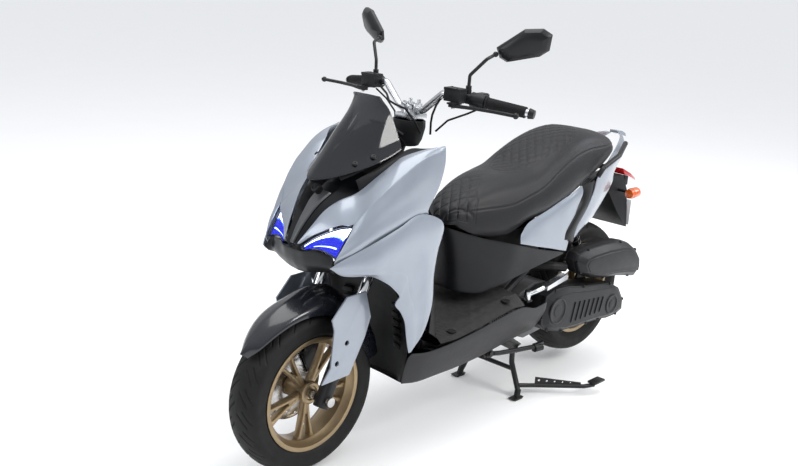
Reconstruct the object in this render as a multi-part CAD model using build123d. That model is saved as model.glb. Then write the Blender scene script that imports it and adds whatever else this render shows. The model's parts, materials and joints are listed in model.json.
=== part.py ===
# Moped scooter, standing on its centre stand. Millimetres.
# +X forward, +Y the scooter's left, +Z up, ground at z = 0.
from build123d import *
import math
import os

os.makedirs("parts", exist_ok=True)

# ---------------------------------------------------------------- driving sizes
SX = 73.5            # shift that brings the bounding box centre to x = 0
AXF = 650.0          # front axle x (before the shift)
AXR = -684.0         # rear axle x
R_FT, W_FT = 243.0, 59.0     # front tyre radius and half width (130/60-13)
R_RT, W_RT = 249.0, 66.0     # rear tyre radius and half width (140/60-13)
R_RIM = 174.0        # rim flange radius (13 inch)
ZF = 243.0           # front axle height
ZR = 292.0           # rear axle height, wheel held clear by the stand
TANR = 0.477         # tan of the rake angle
TRAIL0 = 614.5       # steering axis x at the axle height
LEG_Y = 90.0         # fork leg half spacing
R_STAN, R_LEG = 15.5, 23.0
R_BAR = 11.0         # handlebar tube radius
SKIN = 3.0           # panel thickness
R_AX = 7.5           # axle radius
CLR = 0.06           # running clearance

nodes = {}


def put(name, shape):
    nodes[name] = shape


# ---------------------------------------------------------------- helpers
def vadd(a, b):
    return (a[0] + b[0], a[1] + b[1], a[2] + b[2])


def vsub(a, b):
    return (a[0] - b[0], a[1] - b[1], a[2] - b[2])


def vmul(a, k):
    return (a[0] * k, a[1] * k, a[2] * k)


def vcross(a, b):
    return (a[1] * b[2] - a[2] * b[1], a[2] * b[0] - a[0] * b[2], a[0] * b[1] - a[1] * b[0])


def vdot(a, b):
    return a[0] * b[0] + a[1] * b[1] + a[2] * b[2]


def vlen(a):
    return math.sqrt(vdot(a, a))


def vunit(a):
    n = vlen(a)
    return vmul(a, 1.0 / n) if n > 1e-9 else (0.0, 0.0, 0.0)


def lerp(a, b, t):
    return vadd(vmul(a, 1 - t), vmul(b, t))


def mir(p):
    return (p[0], -p[1], p[2])


def mirgrid(g):
    return [[mir(p) for p in row] for row in g]


def sx(x, z=None):
    """x of the steering axis at height z"""
    return TRAIL0 - TANR * (x - ZF)


def legx(z):
    return AXF - TANR * (z - ZF)


def tri_solid(verts, tris):
    faces = []
    for t in tris:
        a, b, c = verts[t[0]], verts[t[1]], verts[t[2]]
        if vlen(vcross(vsub(b, a), vsub(c, a))) < 1e-6:
            continue
        faces.append(Face(Wire.make_polygon([Vector(*a), Vector(*b), Vector(*c)], close=True)))
    s = Solid(Shell(faces))
    if s.volume < 0:
        s = Solid(s.wrapped.Reversed())
    return s


def cr(p0, p1, p2, p3, t):
    """centripetal-free Catmull-Rom point"""
    out = []
    for a, b, c, d in zip(p0, p1, p2, p3):
        out.append(0.5 * ((2 * b) + (-a + c) * t + (2 * a - 5 * b + 4 * c - d) * t * t
                          + (-a + 3 * b - 3 * c + d) * t * t * t))
    return tuple(out)


def refine_row(row, n):
    out = []
    m = len(row)
    for i in range(m - 1):
        p0 = row[i - 1] if i > 0 else vsub(vmul(row[0], 2), row[1])
        p3 = row[i + 2] if i + 2 < m else vsub(vmul(row[-1], 2), row[-2])
        for k in range(n):
            out.append(cr(p0, row[i], row[i + 1], p3, k / n))
    out.append(row[-1])
    return out


def refine(grid, nu=1, nv=1):
    g = [refine_row(r, nu) for r in grid]
    if nv > 1:
        cols = [[g[i][j] for i in range(len(g))] for j in range(len(g[0]))]
        cols = [refine_row(c, nv) for c in cols]
        g = [[cols[j][i] for j in range(len(cols))] for i in range(len(cols[0]))]
    return g


def grid_normals(g):
    R, C = len(g), len(g[0])
    N = [[(0.0, 0.0, 0.0)] * C for _ in range(R)]
    for i in range(R - 1):
        for j in range(C - 1):
            a, b, c, d = g[i][j], g[i][j + 1], g[i + 1][j + 1], g[i + 1][j]
            n = vunit(vcross(vsub(c, a), vsub(d, b)))
            for (p, q) in ((i, j), (i, j + 1), (i + 1, j + 1), (i + 1, j)):
                N[p][q] = vadd(N[p][q], n)
    return [[vunit(n) for n in row] for row in N]


def panel(grid, inside, th=SKIN):
    """skin of thickness th on the side of the surface towards the point `inside`"""
    R, C = len(grid), len(grid[0])
    N = grid_normals(grid)
    s = 0.0
    for i in range(R):
        for j in range(C):
            s += vdot(N[i][j], vunit(vsub(inside, grid[i][j])))
    sg = 1.0 if s > 0 else -1.0
    outer = [p for row in grid for p in row]
    inner = [vadd(grid[i][j], vmul(N[i][j], sg * th)) for i in range(R) for j in range(C)]
    verts = outer + inner
    n = R * C
    tris = []

    def q(a, b, c, d):
        tris.append((a, b, c))
        tris.append((a, c, d))
    for i in range(R - 1):
        for j in range(C - 1):
            a, b, c, d = i * C + j, i * C + j + 1, (i + 1) * C + j + 1, (i + 1) * C + j
            q(a, b, c, d)
            q(n + a, n + d, n + c, n + b) if False else (tris.append((n + a, n + c, n + b)), tris.append((n + a, n + d, n + c)))
    for j in range(C - 1):
        q(j + 1, j, n + j, n + j + 1)
        b0 = (R - 1) * C + j
        q(b0, b0 + 1, n + b0 + 1, n + b0)
    for i in range(R - 1):
        a0 = i * C
        q(a0, a0 + C, n + a0 + C, n + a0)
        c0 = i * C + C - 1
        q(c0 + C, c0, n + c0, n + c0 + C)
    return tri_solid(verts, tris)


def loft_poly(rings):
    """closed solid through rings of equal point count, fan caps"""
    n = len(rings[0])
    verts = [p for r in rings for p in r]
    tris = []
    for k in range(len(rings) - 1):
        for i in range(n):
            a, b = k * n + i, k * n + (i + 1) % n
            c, d = a + n, b + n
            tris += [(a, b, d), (a, d, c)]
    for k, rev in ((0, True), (len(rings) - 1, False)):
        cen = vmul((sum(p[0] for p in rings[k]), sum(p[1] for p in rings[k]), sum(p[2] for p in rings[k])), 1.0 / n)
        verts.append(cen)
        ci = len(verts) - 1
        for i in range(n):
            a, b = k * n + i, k * n + (i + 1) % n
            tris.append((ci, b, a) if rev else (ci, a, b))
    return tri_solid(verts, tris)


def rod(p, q, r, r2=None):
    p, q = Vector(*p), Vector(*q)
    pl = Plane(origin=p, z_dir=q - p)
    if r2 is None:
        return extrude(pl * Circle(r), amount=(q - p).length)
    s = Cone(r, r2, (q - p).length, align=(Align.CENTER, Align.CENTER, Align.MIN))
    return pl.location * s


def ring(p, q, ro, ri):
    e = vunit(vsub(q, p))
    return rod(p, q, ro) - rod(vsub(p, e), vadd(q, e), ri)


def slab(pts, y0, y1):
    """prism: outline of (x, z) between y0 and y1"""
    w = Face(Wire.make_polygon([Vector(x, y0, z) for x, z in pts], close=True))
    return extrude(w, amount=y1 - y0, dir=(0, 1, 0))


def box(x0, x1, y0, y1, z0, z1):
    return Pos((x0 + x1) / 2, (y0 + y1) / 2, (z0 + z1) / 2) * Box(x1 - x0, y1 - y0, z1 - z0)


def rev_y(prof, cx, cz, cy=0.0):
    """revolve a closed (radius, y) outline about the Y line through cx, cz"""
    f = Face(Wire.make_polygon([Vector(r, y, 0) for r, y in prof], close=True))
    return Pos(cx, cy, cz) * revolve(f, axis=Axis.Y)


def tube(pts, r, bend):
    path = FilletPolyline(*[Vector(*p) for p in pts], radius=bend)
    w = path if isinstance(path, Wire) else Wire(path.edges())
    pl = Plane(origin=w @ 0, z_dir=w % 0)
    return sweep(pl * Circle(r), path=w)


def both(name, shape_fn):
    put(name + "_l", shape_fn(1))
    put(name + "_r", shape_fn(-1))


def my(shape):
    return mirror(shape, about=Plane.XZ)


# ================================================================ front wheel
def tyre(R, W, cx, cz):
    prof = [(R_RIM - 9, 41), (R_RIM - 9, 46.8), (R_RIM + 1, 47.6), (R_RIM + 4, 50.5), (R_RIM + 24, W - 2), (R - 32, W), (R - 18, W - 6),
            (R - 7, W * 0.62), (R - 2, W * 0.33), (R, 8)]
    inner = [(R - 12, 6), (R - 13, W * 0.4), (R - 26, W - 11), (R - 40, W - 8), (R_RIM + 10, 43)]
    out = prof + [(r, -y) for r, y in reversed(prof)] + [(r, -y) for r, y in reversed(inner)] + inner
    # order: outer side from +y to -y, then the inside back again
    out = prof + [(r, -y) for r, y in reversed(prof)]
    ins = [(r, -y) for r, y in reversed(inner)]
    ins2 = inner
    return rev_y(out + list(reversed(ins)) + list(reversed(ins2)), cx, cz)


put("front_tyre", tyre(R_FT, W_FT, AXF, ZF))
put("rear_tyre", tyre(R_RT, W_RT, AXR, ZR))


def rim(cx, cz, hub_lo, hub_hi, n_sp, phase):
    # barrel with flanges; bead seats at R_RIM-9.3
    bs = R_RIM - 9.3
    p = [(R_RIM, 51.5), (R_RIM, 48), (bs, 47.4), (bs, 38), (bs - 12, 26), (bs - 12, -26), (bs, -38), (bs, -47.4), (R_RIM, -48),
         (R_RIM, -51.5), (bs - 4, -51.5), (bs - 6, -40), (bs - 17, -28), (bs - 17, 28), (bs - 6, 40), (bs - 4, 51.5)]
    s = rev_y(p, cx, cz)
    hub = rev_y([(R_AX + CLR, hub_lo), (34, hub_lo), (34, hub_lo + 12), (26, hub_lo + 22), (26, hub_hi - 22),
                 (34, hub_hi - 12), (34, hub_hi), (R_AX + CLR, hub_hi)], cx, cz)
    s = s + hub
    yc = 12.0
    for k in range(n_sp):
        a = phase + k * 360.0 / n_sp
        for da in (-9.5, 9.5):
            # slender forked spoke from the hub to the barrel
            r0, r1 = 22.0, bs - 13.0
            a0, a1 = math.radians(a + da * 0.5), math.radians(a + da)
            p0 = (r0 * math.cos(a0), r0 * math.sin(a0))
            p1 = (r1 * math.cos(a1), r1 * math.sin(a1))
            dx, dz = p1[0] - p0[0], p1[1] - p0[1]
            L = math.hypot(dx, dz)
            nx, nz = -dz / L, dx / L
            w0, w1 = 8.0, 6.0
            pts = [(cx + p0[0] + nx * w0, cz + p0[1] + nz * w0), (cx + p1[0] + nx * w1, cz + p1[1] + nz * w1),
                   (cx + p1[0] - nx * w1, cz + p1[1] - nz * w1), (cx + p0[0] - nx * w0, cz + p0[1] - nz * w0)]
            s = s + slab(pts, yc - 13, yc + 13)
    return s - rod((cx, -90, cz), (cx, 90, cz), R_AX + CLR)


put("front_rim", rim(AXF, ZF, -48.0, 40.0, 5, 54))
put("rear_rim", rim(AXR, ZR, -40.0, 58.0, 5, 30))


def disc(cx, cz, y0, y1, ro, ri, side):
    s = ring((cx, y0, cz), (cx, y1, cz), ro, ri)
    holes = None
    for k in range(18):
        a = 2 * math.pi * k / 18
        rr = ro - 11 if k % 2 else ro - 23
        c = rod((cx + rr * math.cos(a), y0 - 1, cz + rr * math.sin(a)), (cx + rr * math.cos(a), y1 + 1, cz + rr * math.sin(a)), 3.5)
        holes = c if holes is None else holes + c
    return s - holes


put("front_disc", disc(AXF, ZF, -52.1, -48.1, 110, 12, -1))
put("rear_disc", disc(AXR, ZR, -44.1, -40.1, 105, 12, -1))

# ================================================================ fork lowers (slide)
DL = vunit((-TANR, 0, 1))


def on_leg(y, s):
    """point on a leg's line s mm above the axle"""
    return (AXF + DL[0] * s, y, ZF + DL[2] * s)


def fork_lower(k):
    y = LEG_Y * k
    s = rod(on_leg(y, -24), on_leg(y, 250), R_LEG)
    s = s + rod(on_leg(y, 236), on_leg(y, 252), R_LEG + 3)
    s = s - rod(on_leg(y, 55), on_leg(y, 260), R_STAN + CLR)
    s = s + rod((AXF, y - 20 * 1, ZF), (AXF, y + 20, ZF), 17)
    s = s - rod((AXF, y - 30, ZF), (AXF, y + 30, ZF), R_AX + 0.02)
    return s


both("fork_lower", fork_lower)
put("front_axle", rod((AXF, -122, ZF), (AXF, 122, ZF), R_AX)
    + rod((AXF, 113.3, ZF), (AXF, 124, ZF), 14) + rod((AXF, -124, ZF), (AXF, -113.3, ZF), 12))
put("axle_spacers", ring((AXF, 40.2, ZF), (AXF, 66.5, ZF), 15, R_AX + 0.02) + ring((AXF, -66.5, ZF), (AXF, -52.4, ZF), 11.5, R_AX + 0.02))


def caliper():
    # twin-piston caliper over the disc behind the right leg
    c = (AXF - 78, ZF + 62)
    s = slab([(AXF - 60, ZF + 20), (AXF - 30, ZF + 88), (AXF - 62, ZF + 112), (AXF - 104, ZF + 96), (AXF - 108, ZF + 40)], -63.5, -37)
    s = s - slab([(AXF - 200, ZF - 200), (AXF + 200, ZF - 200), (AXF + 200, ZF + 200), (AXF - 200, ZF + 200)], -54.2, -46)
    s = s + slab([(AXF - 104, ZF + 60), (AXF - 104, ZF + 96), (AXF - 62, ZF + 112), (AXF - 70, ZF + 118), (AXF - 112, ZF + 104), (AXF - 116, ZF + 60)], -63.5, -37)
    s = s + rod((c[0], -68, c[1]), (c[0], -63.4, c[1]), 15)
    return s


put("front_caliper", caliper())
put("caliper_bracket", slab([(AXF - 64, ZF + 100), (AXF - 92, ZF + 60), (AXF - 60, ZF + 58), (AXF - 38, ZF + 30), (AXF - 10, ZF + 36), (AXF - 44, ZF + 112)], -66.6, -63.7)
    - rod((AXF - 78, -70, ZF + 62), (AXF - 78, -60, ZF + 62), 15.3))


def fork_cover(k):
    # plate on the outside of a leg, outline measured in x-z
    o = [(602, 549), (529, 551), (506, 470), (526, 413), (582, 310), (688, 306), (656, 349), (647, 458), (657, 491)]
    s = slab(o, LEG_Y + R_LEG + 4.2, LEG_Y + R_LEG + 9.5)
    for c in ((597, 411), (633, 357)):
        s = s - rod((c[0], 100, c[1]), (c[0], 140, c[1]), 8.0)
    return s if k > 0 else my(s)


both("fork_cover", fork_cover)


# front mudguard: arc over the tyre, slopes down to a beak in front
def fender_grid():
    rows = []
    # angle about the axle (deg from +x axis, up), half width at the edge, drop
    stations = [(36, 286, 12, 0), (44, 288, 36, 4), (56, 290, 52, 8), (68, 291, 60, 12), (80, 290, 64, 16), (92, 290, 64.5, 24),
                (104, 292, 64.5, 32), (116, 292, 64.5, 40), (128, 289, 64.5, 48), (140, 284, 64.5, 52), (152, 280, 64.5, 50), (164, 276, 64.5, 40)]
    for a, R, w, drop in stations:
        t = math.radians(a)
        row = []
        for f in (-1, -0.93, -0.6, -0.25, 0, 0.25, 0.6, 0.93, 1):
            y = w * f
            af = abs(f)
            r = R + 25 * math.exp(-((a - 100) / 16.0) ** 2) * (1 if af < 0.3 else (0.8 if af < 0.7 else 0)) - (0 if af < 0.01 else (3 if af < 0.3 else (10 if af < 0.7 else (21 if af < 0.95 else 22 + drop))))
            row.append((AXF + r * math.cos(t), y, ZF + r * math.sin(t)))
        rows.append(row)
    return rows


FENDER = panel(refine(fender_grid(), 1, 1), (AXF, 0, ZF), 2.5)
put("front_fender", FENDER)

# ================================================================ steering assembly
def on_steer(s, y=0.0, fwd=0.0):
    """point s mm along the steering axis from axle height, fwd mm ahead at right angles"""
    return (TRAIL0 + DL[0] * s + fwd * DL[2], y, ZF + DL[2] * s - fwd * DL[0] * 1.0)


def both_stanchions(k):
    y = LEG_Y * k
    return rod(on_leg(y, 118), on_leg(y, 512), R_STAN)


both("stanchion", both_stanchions)
FWD = (AXF - TRAIL0) * DL[2]     # leg offset ahead of the steering axis, square to it
S_Y = 486.0                      # yoke centre along the leg


def yoke():
    c = Vector(*on_leg(0, S_Y))
    pl = Plane(origin=c, z_dir=Vector(*DL), x_dir=(0, 1, 0))
    body = pl * RectangleRounded(2 * LEG_Y + 54, 56, 20)
    s = extrude(body, amount=26)
    s = s + extrude(pl.offset(0) * (Pos(0, 0) * Circle(1)), amount=1)
    # arm back to the stem
    a = on_leg(0, S_Y)
    b = vadd(a, vmul((DL[2], 0, -DL[0]), -FWD))
    s = s + rod(b, vadd(b, vmul(DL, 26)), 30)
    for k in (1, -1):
        s = s - rod(on_leg(LEG_Y * k, S_Y - 5), on_leg(LEG_Y * k, S_Y + 40), R_STAN + 0.02)
    s = s - rod(vadd(b, vmul(DL, -5)), vadd(b, vmul(DL, 40)), 14.02)
    return s


put("lower_yoke", yoke())
b0 = vadd(on_leg(0, S_Y), vmul((DL[2], 0, -DL[0]), -FWD))
S0 = (b0[2] - ZF) / DL[2]


def st(s):
    return (TRAIL0 + DL[0] * s, 0.0, ZF + DL[2] * s)


put("steering_stem", rod(st(S0), st(S0 + 362), 14))

# handlebar: low centre, risers, swept ends
BA, BB, BC, BD = (253, 0, 1034), (253, 45, 1034), (243, 118, 1098), (157, 360, 1066.6)
bar_pts = [mir(BD), mir(BC), mir(BB), BB, BC, BD]
bar = tube(bar_pts, R_BAR, 24)
put("handlebar", bar)
DB = vunit(vsub(BD, BC))


def onbar(k, t, up=0.0, fwd=0.0):
    p = vadd(BC, vmul(DB, t))
    p = (p[0] + fwd, p[1], p[2] + up)
    return p if k > 0 else mir(p)


def barcut(k, r=R_BAR + 0.02):
    return rod(onbar(k, 12), onbar(k, 262), r)


# riser block between the stem top and the bar
def riser():
    t0 = st(S0 + 364)
    s = rod(t0, vadd(t0, vmul(DL, 28)), 24)
    s = s + box(222, 284, -36, 36, 1008, 1022)
    s = s - box(150, 400, -90, 90, 1021.5, 1100) if False else s
    for k in (1, -1):
        s = s + box(236, 270, 17 * k - 8, 17 * k + 8, 1018, 1034)
    s = s - rod((253, -60, 1034), (253, 60, 1034), R_BAR + 0.02)
    s = s - box(150, 400, -90, 90, 1034, 1100)
    return s


put("riser_block", riser())


def bar_clamps():
    s = None
    for k in (1, -1):
        b = box(234, 272, 17 * k - 9, 17 * k + 9, 1034.2, 1051)
        b = b + rod((240, 17 * k, 1048), (240, 17 * k, 1062), 5.5) + rod((266, 17 * k, 1048), (266, 17 * k, 1057), 5.5)
        s = b if s is None else s + b
    return s - rod((253, -60, 1034), (253, 60, 1034), R_BAR + 0.02)


put("bar_clamps", bar_clamps())


def stem_cover():
    # barrel of twelve-sided rings around the stem
    def rng(c, ax, ay, tilt=0.0):
        return [(c[0] + ax * math.cos(2 * math.pi * i / 12), ay * math.sin(2 * math.pi * i / 12), c[2] + tilt * math.cos(2 * math.pi * i / 12)) for i in range(12)]
    R4 = [((274, 0, 930), 37, 45), ((269, 0, 950), 40, 54), ((263, 0, 984), 40, 60), ((259, 0, 1004), 38, 56)]
    o = loft_poly([rng(*q) for q in R4])
    i = loft_poly([rng((274, 0, 926), 33, 41), rng((269, 0, 950), 36.5, 50.5), rng((263, 0, 984), 36.5, 56.5), rng((259, 0, 1008), 34, 52)])
    return o - i


put("stem_cover", stem_cover())


# grips, bar ends
def grip(k):
    s = ring(onbar(k, 128), onbar(k, 250), 16.5, R_BAR + CLR)
    s = s + ring(onbar(k, 128), onbar(k, 133), 20, R_BAR + CLR)
    return s


both("grip", grip)


def bar_end(k):
    return rod(onbar(k, 257), onbar(k, 276), 15, 12) - rod(onbar(k, 250), onbar(k, 260), R_BAR + 0.02)


def bar_end2(k):
    e = (vlen(vsub(BD, BC)))
    return rod(onbar(k, e + 0.2), onbar(k, e + 16), 15.5, 12.5)


both("bar_end", bar_end2)


def switchbox(k):
    s = rod(onbar(k, 84), onbar(k, 126), 21)
    p = onbar(k, 105)
    s = s + box(p[0] - 34, p[0] - 4, p[1] - (17 if k > 0 else 8), p[1] + (8 if k > 0 else 17), p[2] - 14, p[2] + 20)
    if k < 0:
        s = s - rod((p[0] - 45, p[1], p[2] - 5), (p[0] - 29, p[1], p[2] - 5), 7.0)
    return s - barcut(k)


both("switch_housing", switchbox)


def reservoir(k):
    a, b = onbar(k, 40), onbar(k, 62)
    s = ring(a, b, 19, R_BAR + 0.02)
    p = onbar(k, 51)
    body = box(p[0] + 14, p[0] + 46, p[1] - (26 if k > 0 else 32), p[1] + (32 if k > 0 else 26), p[2] - 12, p[2] + 20)
    # lever fork ears
    q = (p[0] + 46, p[1] + 8, p[2] - 17)
    s = s + body
    s = s + box(p[0] + 30, p[0] + 64, p[1] + (2 if k > 0 else -30), p[1] + (30 if k > 0 else -2), p[2] - 17, p[2] - 12)
    return s - barcut(k)


both("master_cylinder", reservoir)
def reservoir_cap(k):
    p = onbar(k, 51)
    lo, hi = (27, 33) if k > 0 else (33, 27)
    return box(p[0] + 13, p[0] + 47, p[1] - lo, p[1] + hi, p[2] + 20.2, p[2] + 27) + rod((p[0] + 20, p[1] - 18, p[2] + 26), (p[0] + 20, p[1] - 18, p[2] + 28.4), 3) + rod((p[0] + 40, p[1] + 18, p[2] + 26), (p[0] + 40, p[1] + 18, p[2] + 28.4), 3)


both("reservoir_cap", reservoir_cap)

LEV_PIV = (291.0, 152.0, 0.0)


def lever_pivot(k):
    p = onbar(k, 51)
    return (p[0] + 52, p[1] + 16 * k, p[2] - 17.2)


def lever(k):
    px, py, pz = lever_pivot(1)
    o = [(px - 9, py - 12), (px + 7, py - 12), (px + 9, py + 6), (px - 12, py + 62), (px - 20, py + 130), (px - 19, py + 196), (px - 21, py + 212),
         (px - 31, py + 210), (px - 33, py + 196), (px - 32, py + 130), (px - 25, py + 56), (px - 12, py + 6)]
    f = Face(Wire.make_polygon([Vector(x, y, pz - 8.0) for x, y in o], close=True))
    s = extrude(f, amount=8.0, dir=(0, 0, 1))
    s = s + (Pos(px - 26, py + 204, pz - 4) * Sphere(8.5))
    s = s - rod((px, py, pz - 20), (px, py, pz + 10), 3.0 + CLR)
    return s if k > 0 else my(s)


both("brake_lever", lever)


def lever_pin(k):
    p = lever_pivot(k)
    return rod((p[0], p[1], p[2] - 10.5), (p[0], p[1], p[2] + 0.1), 3.0) + rod((p[0], p[1], p[2] - 12.5), (p[0], p[1], p[2] - 8.4), 5.0)


both("lever_pin", lever_pin)

# buttons on the housings
pL = onbar(1, 105)
put("turn_switch", box(pL[0] - 41, pL[0] - 34.3, pL[1] - 7, pL[1] + 7, pL[2] - 4, pL[2] + 6))
put("horn_button", rod((pL[0] - 40, pL[1], pL[2] - 9.5), (pL[0] - 34.3, pL[1], pL[2] - 9.5), 4.0))
put("beam_button", box(pL[0] - 39, pL[0] - 34.3, pL[1] - 8, pL[1] + 8, pL[2] + 9, pL[2] + 17))
pR = onbar(-1, 105)
put("start_button", rod((pR[0] - 40, pR[1], pR[2] - 5), (pR[0] - 34.3, pR[1], pR[2] - 5), 6.5))
put("kill_switch", box(pR[0] - 41, pR[0] - 34.3, pR[1] - 7, pR[1] + 7, pR[2] + 5, pR[2] + 16))


# mirrors
def mirror_boss(k):
    s = rod(onbar(k, 66), onbar(k, 82), 17)
    p = onbar(k, 74)
    s = s + rod((p[0] + 2, p[1], p[2] + 8), (p[0] + 2, p[1], p[2] + 24), 9)
    s = s - barcut(k)
    s = s - rod((p[0] + 2, p[1], p[2] + 12), (p[0] + 2, p[1], p[2] + 30), 5.0 + CLR)
    return s


both("mirror_boss", mirror_boss)
MB = onbar(1, 74)
MBX, MBY, MBZ = MB[0] + 2, MB[1], MB[2] + 24
MHB = (166.0, 232.0, 1217.0)     # ball of the head joint


def mirror_stem(k):
    s = rod((MBX, MBY, MBZ - 10), (MBX, MBY, MBZ + 1), 5.0)
    s = s + rod((MBX, MBY, MBZ + 0.2), (MBX, MBY, MBZ + 12), 8.5)
    s = s + tube([(MBX, MBY, MBZ + 10), (MBX, MBY + 1, MBZ + 42), (196, 226, 1204), MHB], 5.0, 12)
    s = s + (Pos(*MHB) * Sphere(8.0))
    return s if k > 0 else my(s)


both("mirror_stem", mirror_stem)
MO = [(163, 230, 1235), (127, 300, 1296), (112, 352, 1299), (100, 375, 1283), (96, 366, 1238), (104, 340, 1219), (130, 248, 1198), (146, 232, 1208)]
MN = vunit((0.864, 0.450, -0.226))


def flat_outline(o, n):
    c = vmul((sum(p[0] for p in o), sum(p[1] for p in o), sum(p[2] for p in o)), 1.0 / len(o))
    return [vsub(p, vmul(n, vdot(vsub(p, c), n))) for p in o], c


def mirror_head(k):
    o, c = flat_outline(MO, MN)
    r0 = [vadd(lerp(c, p, 0.97), vmul(MN, -6)) for p in o]
    r1 = [vadd(p, vmul(MN, 2)) for p in o]
    r2 = [vadd(lerp(c, p, 0.86), vmul(MN, 14)) for p in o]
    r3 = [vadd(lerp(c, p, 0.45), vmul(MN, 22)) for p in o]
    s = loft_poly([r0, r1, r2, r3])
    g = [vadd(lerp(c, p, 0.93), vmul(MN, -8)) for p in o]
    g2 = [vadd(lerp(c, p, 0.93), vmul(MN, -3)) for p in o]
    s = s - loft_poly([g, g2])
    s = s - (Pos(*MHB) * Sphere(8.0 + 0.3)) - rod(MHB, (196, 226, 1204), 9.0, 15.0)
    return s if k > 0 else my(s)


def mirror_glass(k):
    o, c = flat_outline(MO, MN)
    g = [vadd(lerp(c, p, 0.925), vmul(MN, -5.6)) for p in o]
    g2 = [vadd(lerp(c, p, 0.925), vmul(MN, -3.3)) for p in o]
    s = loft_poly([g, g2])
    s = s - (Pos(*MHB) * Sphere(8.0 + 0.3)) - rod(MHB, (196, 226, 1204), 9.0, 15.0)
    return s if k > 0 else my(s)


both("mirror_head", mirror_head)
both("mirror_glass", mirror_glass)

# hoses and cables from the controls down past the stem cover, all in the steering assembly
put("brake_hose", tube([(262, -120, 1082), (262, -96, 1066), (288, -60, 1052), (296, -26, 1046), (300, 20, 1040), (300, 60, 1008), (288, 74, 975)], 3.2, 12))
put("rear_brake_hose", tube([(262, 120, 1082), (266, 108, 1060), (262, 92, 1030), (250, 78, 1004), (246, 75, 968)], 3.2, 12))
put("throttle_cable", tube([(196, -206, 1062), (206, -150, 1040), (226, -92, 1010), (240, -74, 968)], 2.6, 16))
put("switch_cable", tube([(184, 210, 1062), (196, 170, 1040), (212, 110, 1012), (222, 74, 975)], 3.0, 16))

# ================================================================ frame (steel tubes)
def frame():
    hb0, hb1 = st(S0 + 44), st(S0 + 218)
    head = ring(hb0, hb1, 27, 14 + CLR)
    s = head
    a = st(S0 + 150)
    # backbone: down behind the head tube, then two rails under the floor
    s = s + rod(vadd(a, (-24, 0, -10)), (300, 0, 520), 20)
    s = s + rod(vadd(st(S0 + 80), (-22, 0, -8)), (312, 0, 560), 14)
    s = s + rod((300, 0, 524), (262, 0, 318), 20)
    s = s + rod((262, -105, 318), (262, 105, 318), 16)
    for k in (1, -1):
        s = s + tube([(262, 100 * k, 318), (200, 104 * k, 290), (-40, 104 * k, 300), (-150, 104 * k, 400), (-330, 80 * k, 470), (-560, 60 * k, 640), (-800, 54 * k, 742)], 13, 40)
    s = s + rod((120, -104, 293), (120, 104, 293), 11)
    s = s + rod((-140, -104, 391), (-140, 104, 391), 12)
    s = s + rod((-796, -56, 740), (-796, 56, 740), 10)
    s = s + rod((-30, -104, 302), (-30, 104, 302), 11)
    s = s - rod(st(S0 - 20), st(S0 + 300), 14 + CLR)
    # lugs for the engine hinge and the stand
    for k in (1, -1):
        s = s + slab([(-150, 392), (-176, 414), (-236, 348), (-244, 322), (-222, 316), (-196, 326), (-140, 376)], 98 * k - 4, 98 * k + 4)
        s = s + slab([(-30, 312), (-60, 326), (-262, 190), (-264, 168), (-242, 160), (-222, 172), (-30, 282)], 104 * k - 4, 104 * k + 4)
        s = s - rod((-228, 80 * k, 334), (-228, 120 * k, 334), 6 + CLR)
        s = s - rod((-248, 90 * k, 180), (-248, 120 * k, 180), 7 + CLR)
    return s


put("frame", frame())
put("engine_bolt", rod((-228, -108, 334), (-228, 108, 334), 6) + rod((-228, 102.3, 334), (-228, 112, 334), 10) + rod((-228, -112, 334), (-228, -102.3, 334), 10))

# ================================================================ body panels (left side, mirrored for the right)
# upper cowl: inner edge, crown, crease
UI = [(712, 27, 702), (676, 46, 753), (645, 60, 792), (610, 80, 820), (567, 105, 841), (519, 128, 882), (470, 148, 922), (445, 160, 940), (400, 192, 959), (340, 217, 968)]
UK = [(709, 33, 701), (690, 56, 724), (669, 92, 748), (646, 125, 766), (620, 151, 770), (584, 178, 822), (541, 195, 863), (503, 204, 892), (427, 216, 939), (340, 221, 956)]
UL = [None, None, None, None, (680, 147, 676), (626, 186, 719), (534, 212, 761), (464, 222, 785), (425, 223.5, 792), (399, 224, 799)]


def upper_top():
    rows = [[], [], [], []]
    for a, b in zip(UI, UK):
        w = vlen(vsub(a, b))
        rows[0].append(a)
        rows[1].append(vadd(lerp(a, b, 0.33), (0, w * 0.03, w * 0.07)))
        rows[2].append(vadd(lerp(a, b, 0.67), (0, w * 0.03, w * 0.06)))
        rows[3].append(b)
    return rows


def upper_low():
    rows = [[], [], [], []]
    rear = [(340, 221, 956), (344, 225, 912), (366, 227, 853), (399, 224, 799)]
    for j in range(4, 10):
        a, b = UK[j], UL[j]
        for i in range(4):
            if j == 9:
                rows[i].append(rear[i])
            else:
                p = lerp(a, b, i / 3.0)
                dip = (0, 4.5, 2.5, 0)[i]
                rows[i].append(vadd(p, (0, dip, 0)))
    return rows


def upper_cowl():
    top = panel(refine(upper_top(), 2, 1), (430, 0, 760))
    low = panel(refine(upper_low(), 2, 1), (430, 0, 760))
    return top, low


# one continuous grid: top rows then low rows share the crease from station 4 on; the two skins are fused
def cowl_node():
    a, b = upper_cowl()
    return a + b


UC = cowl_node()
put("upper_cowl_l", UC)
put("upper_cowl_r", my(UC))

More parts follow.
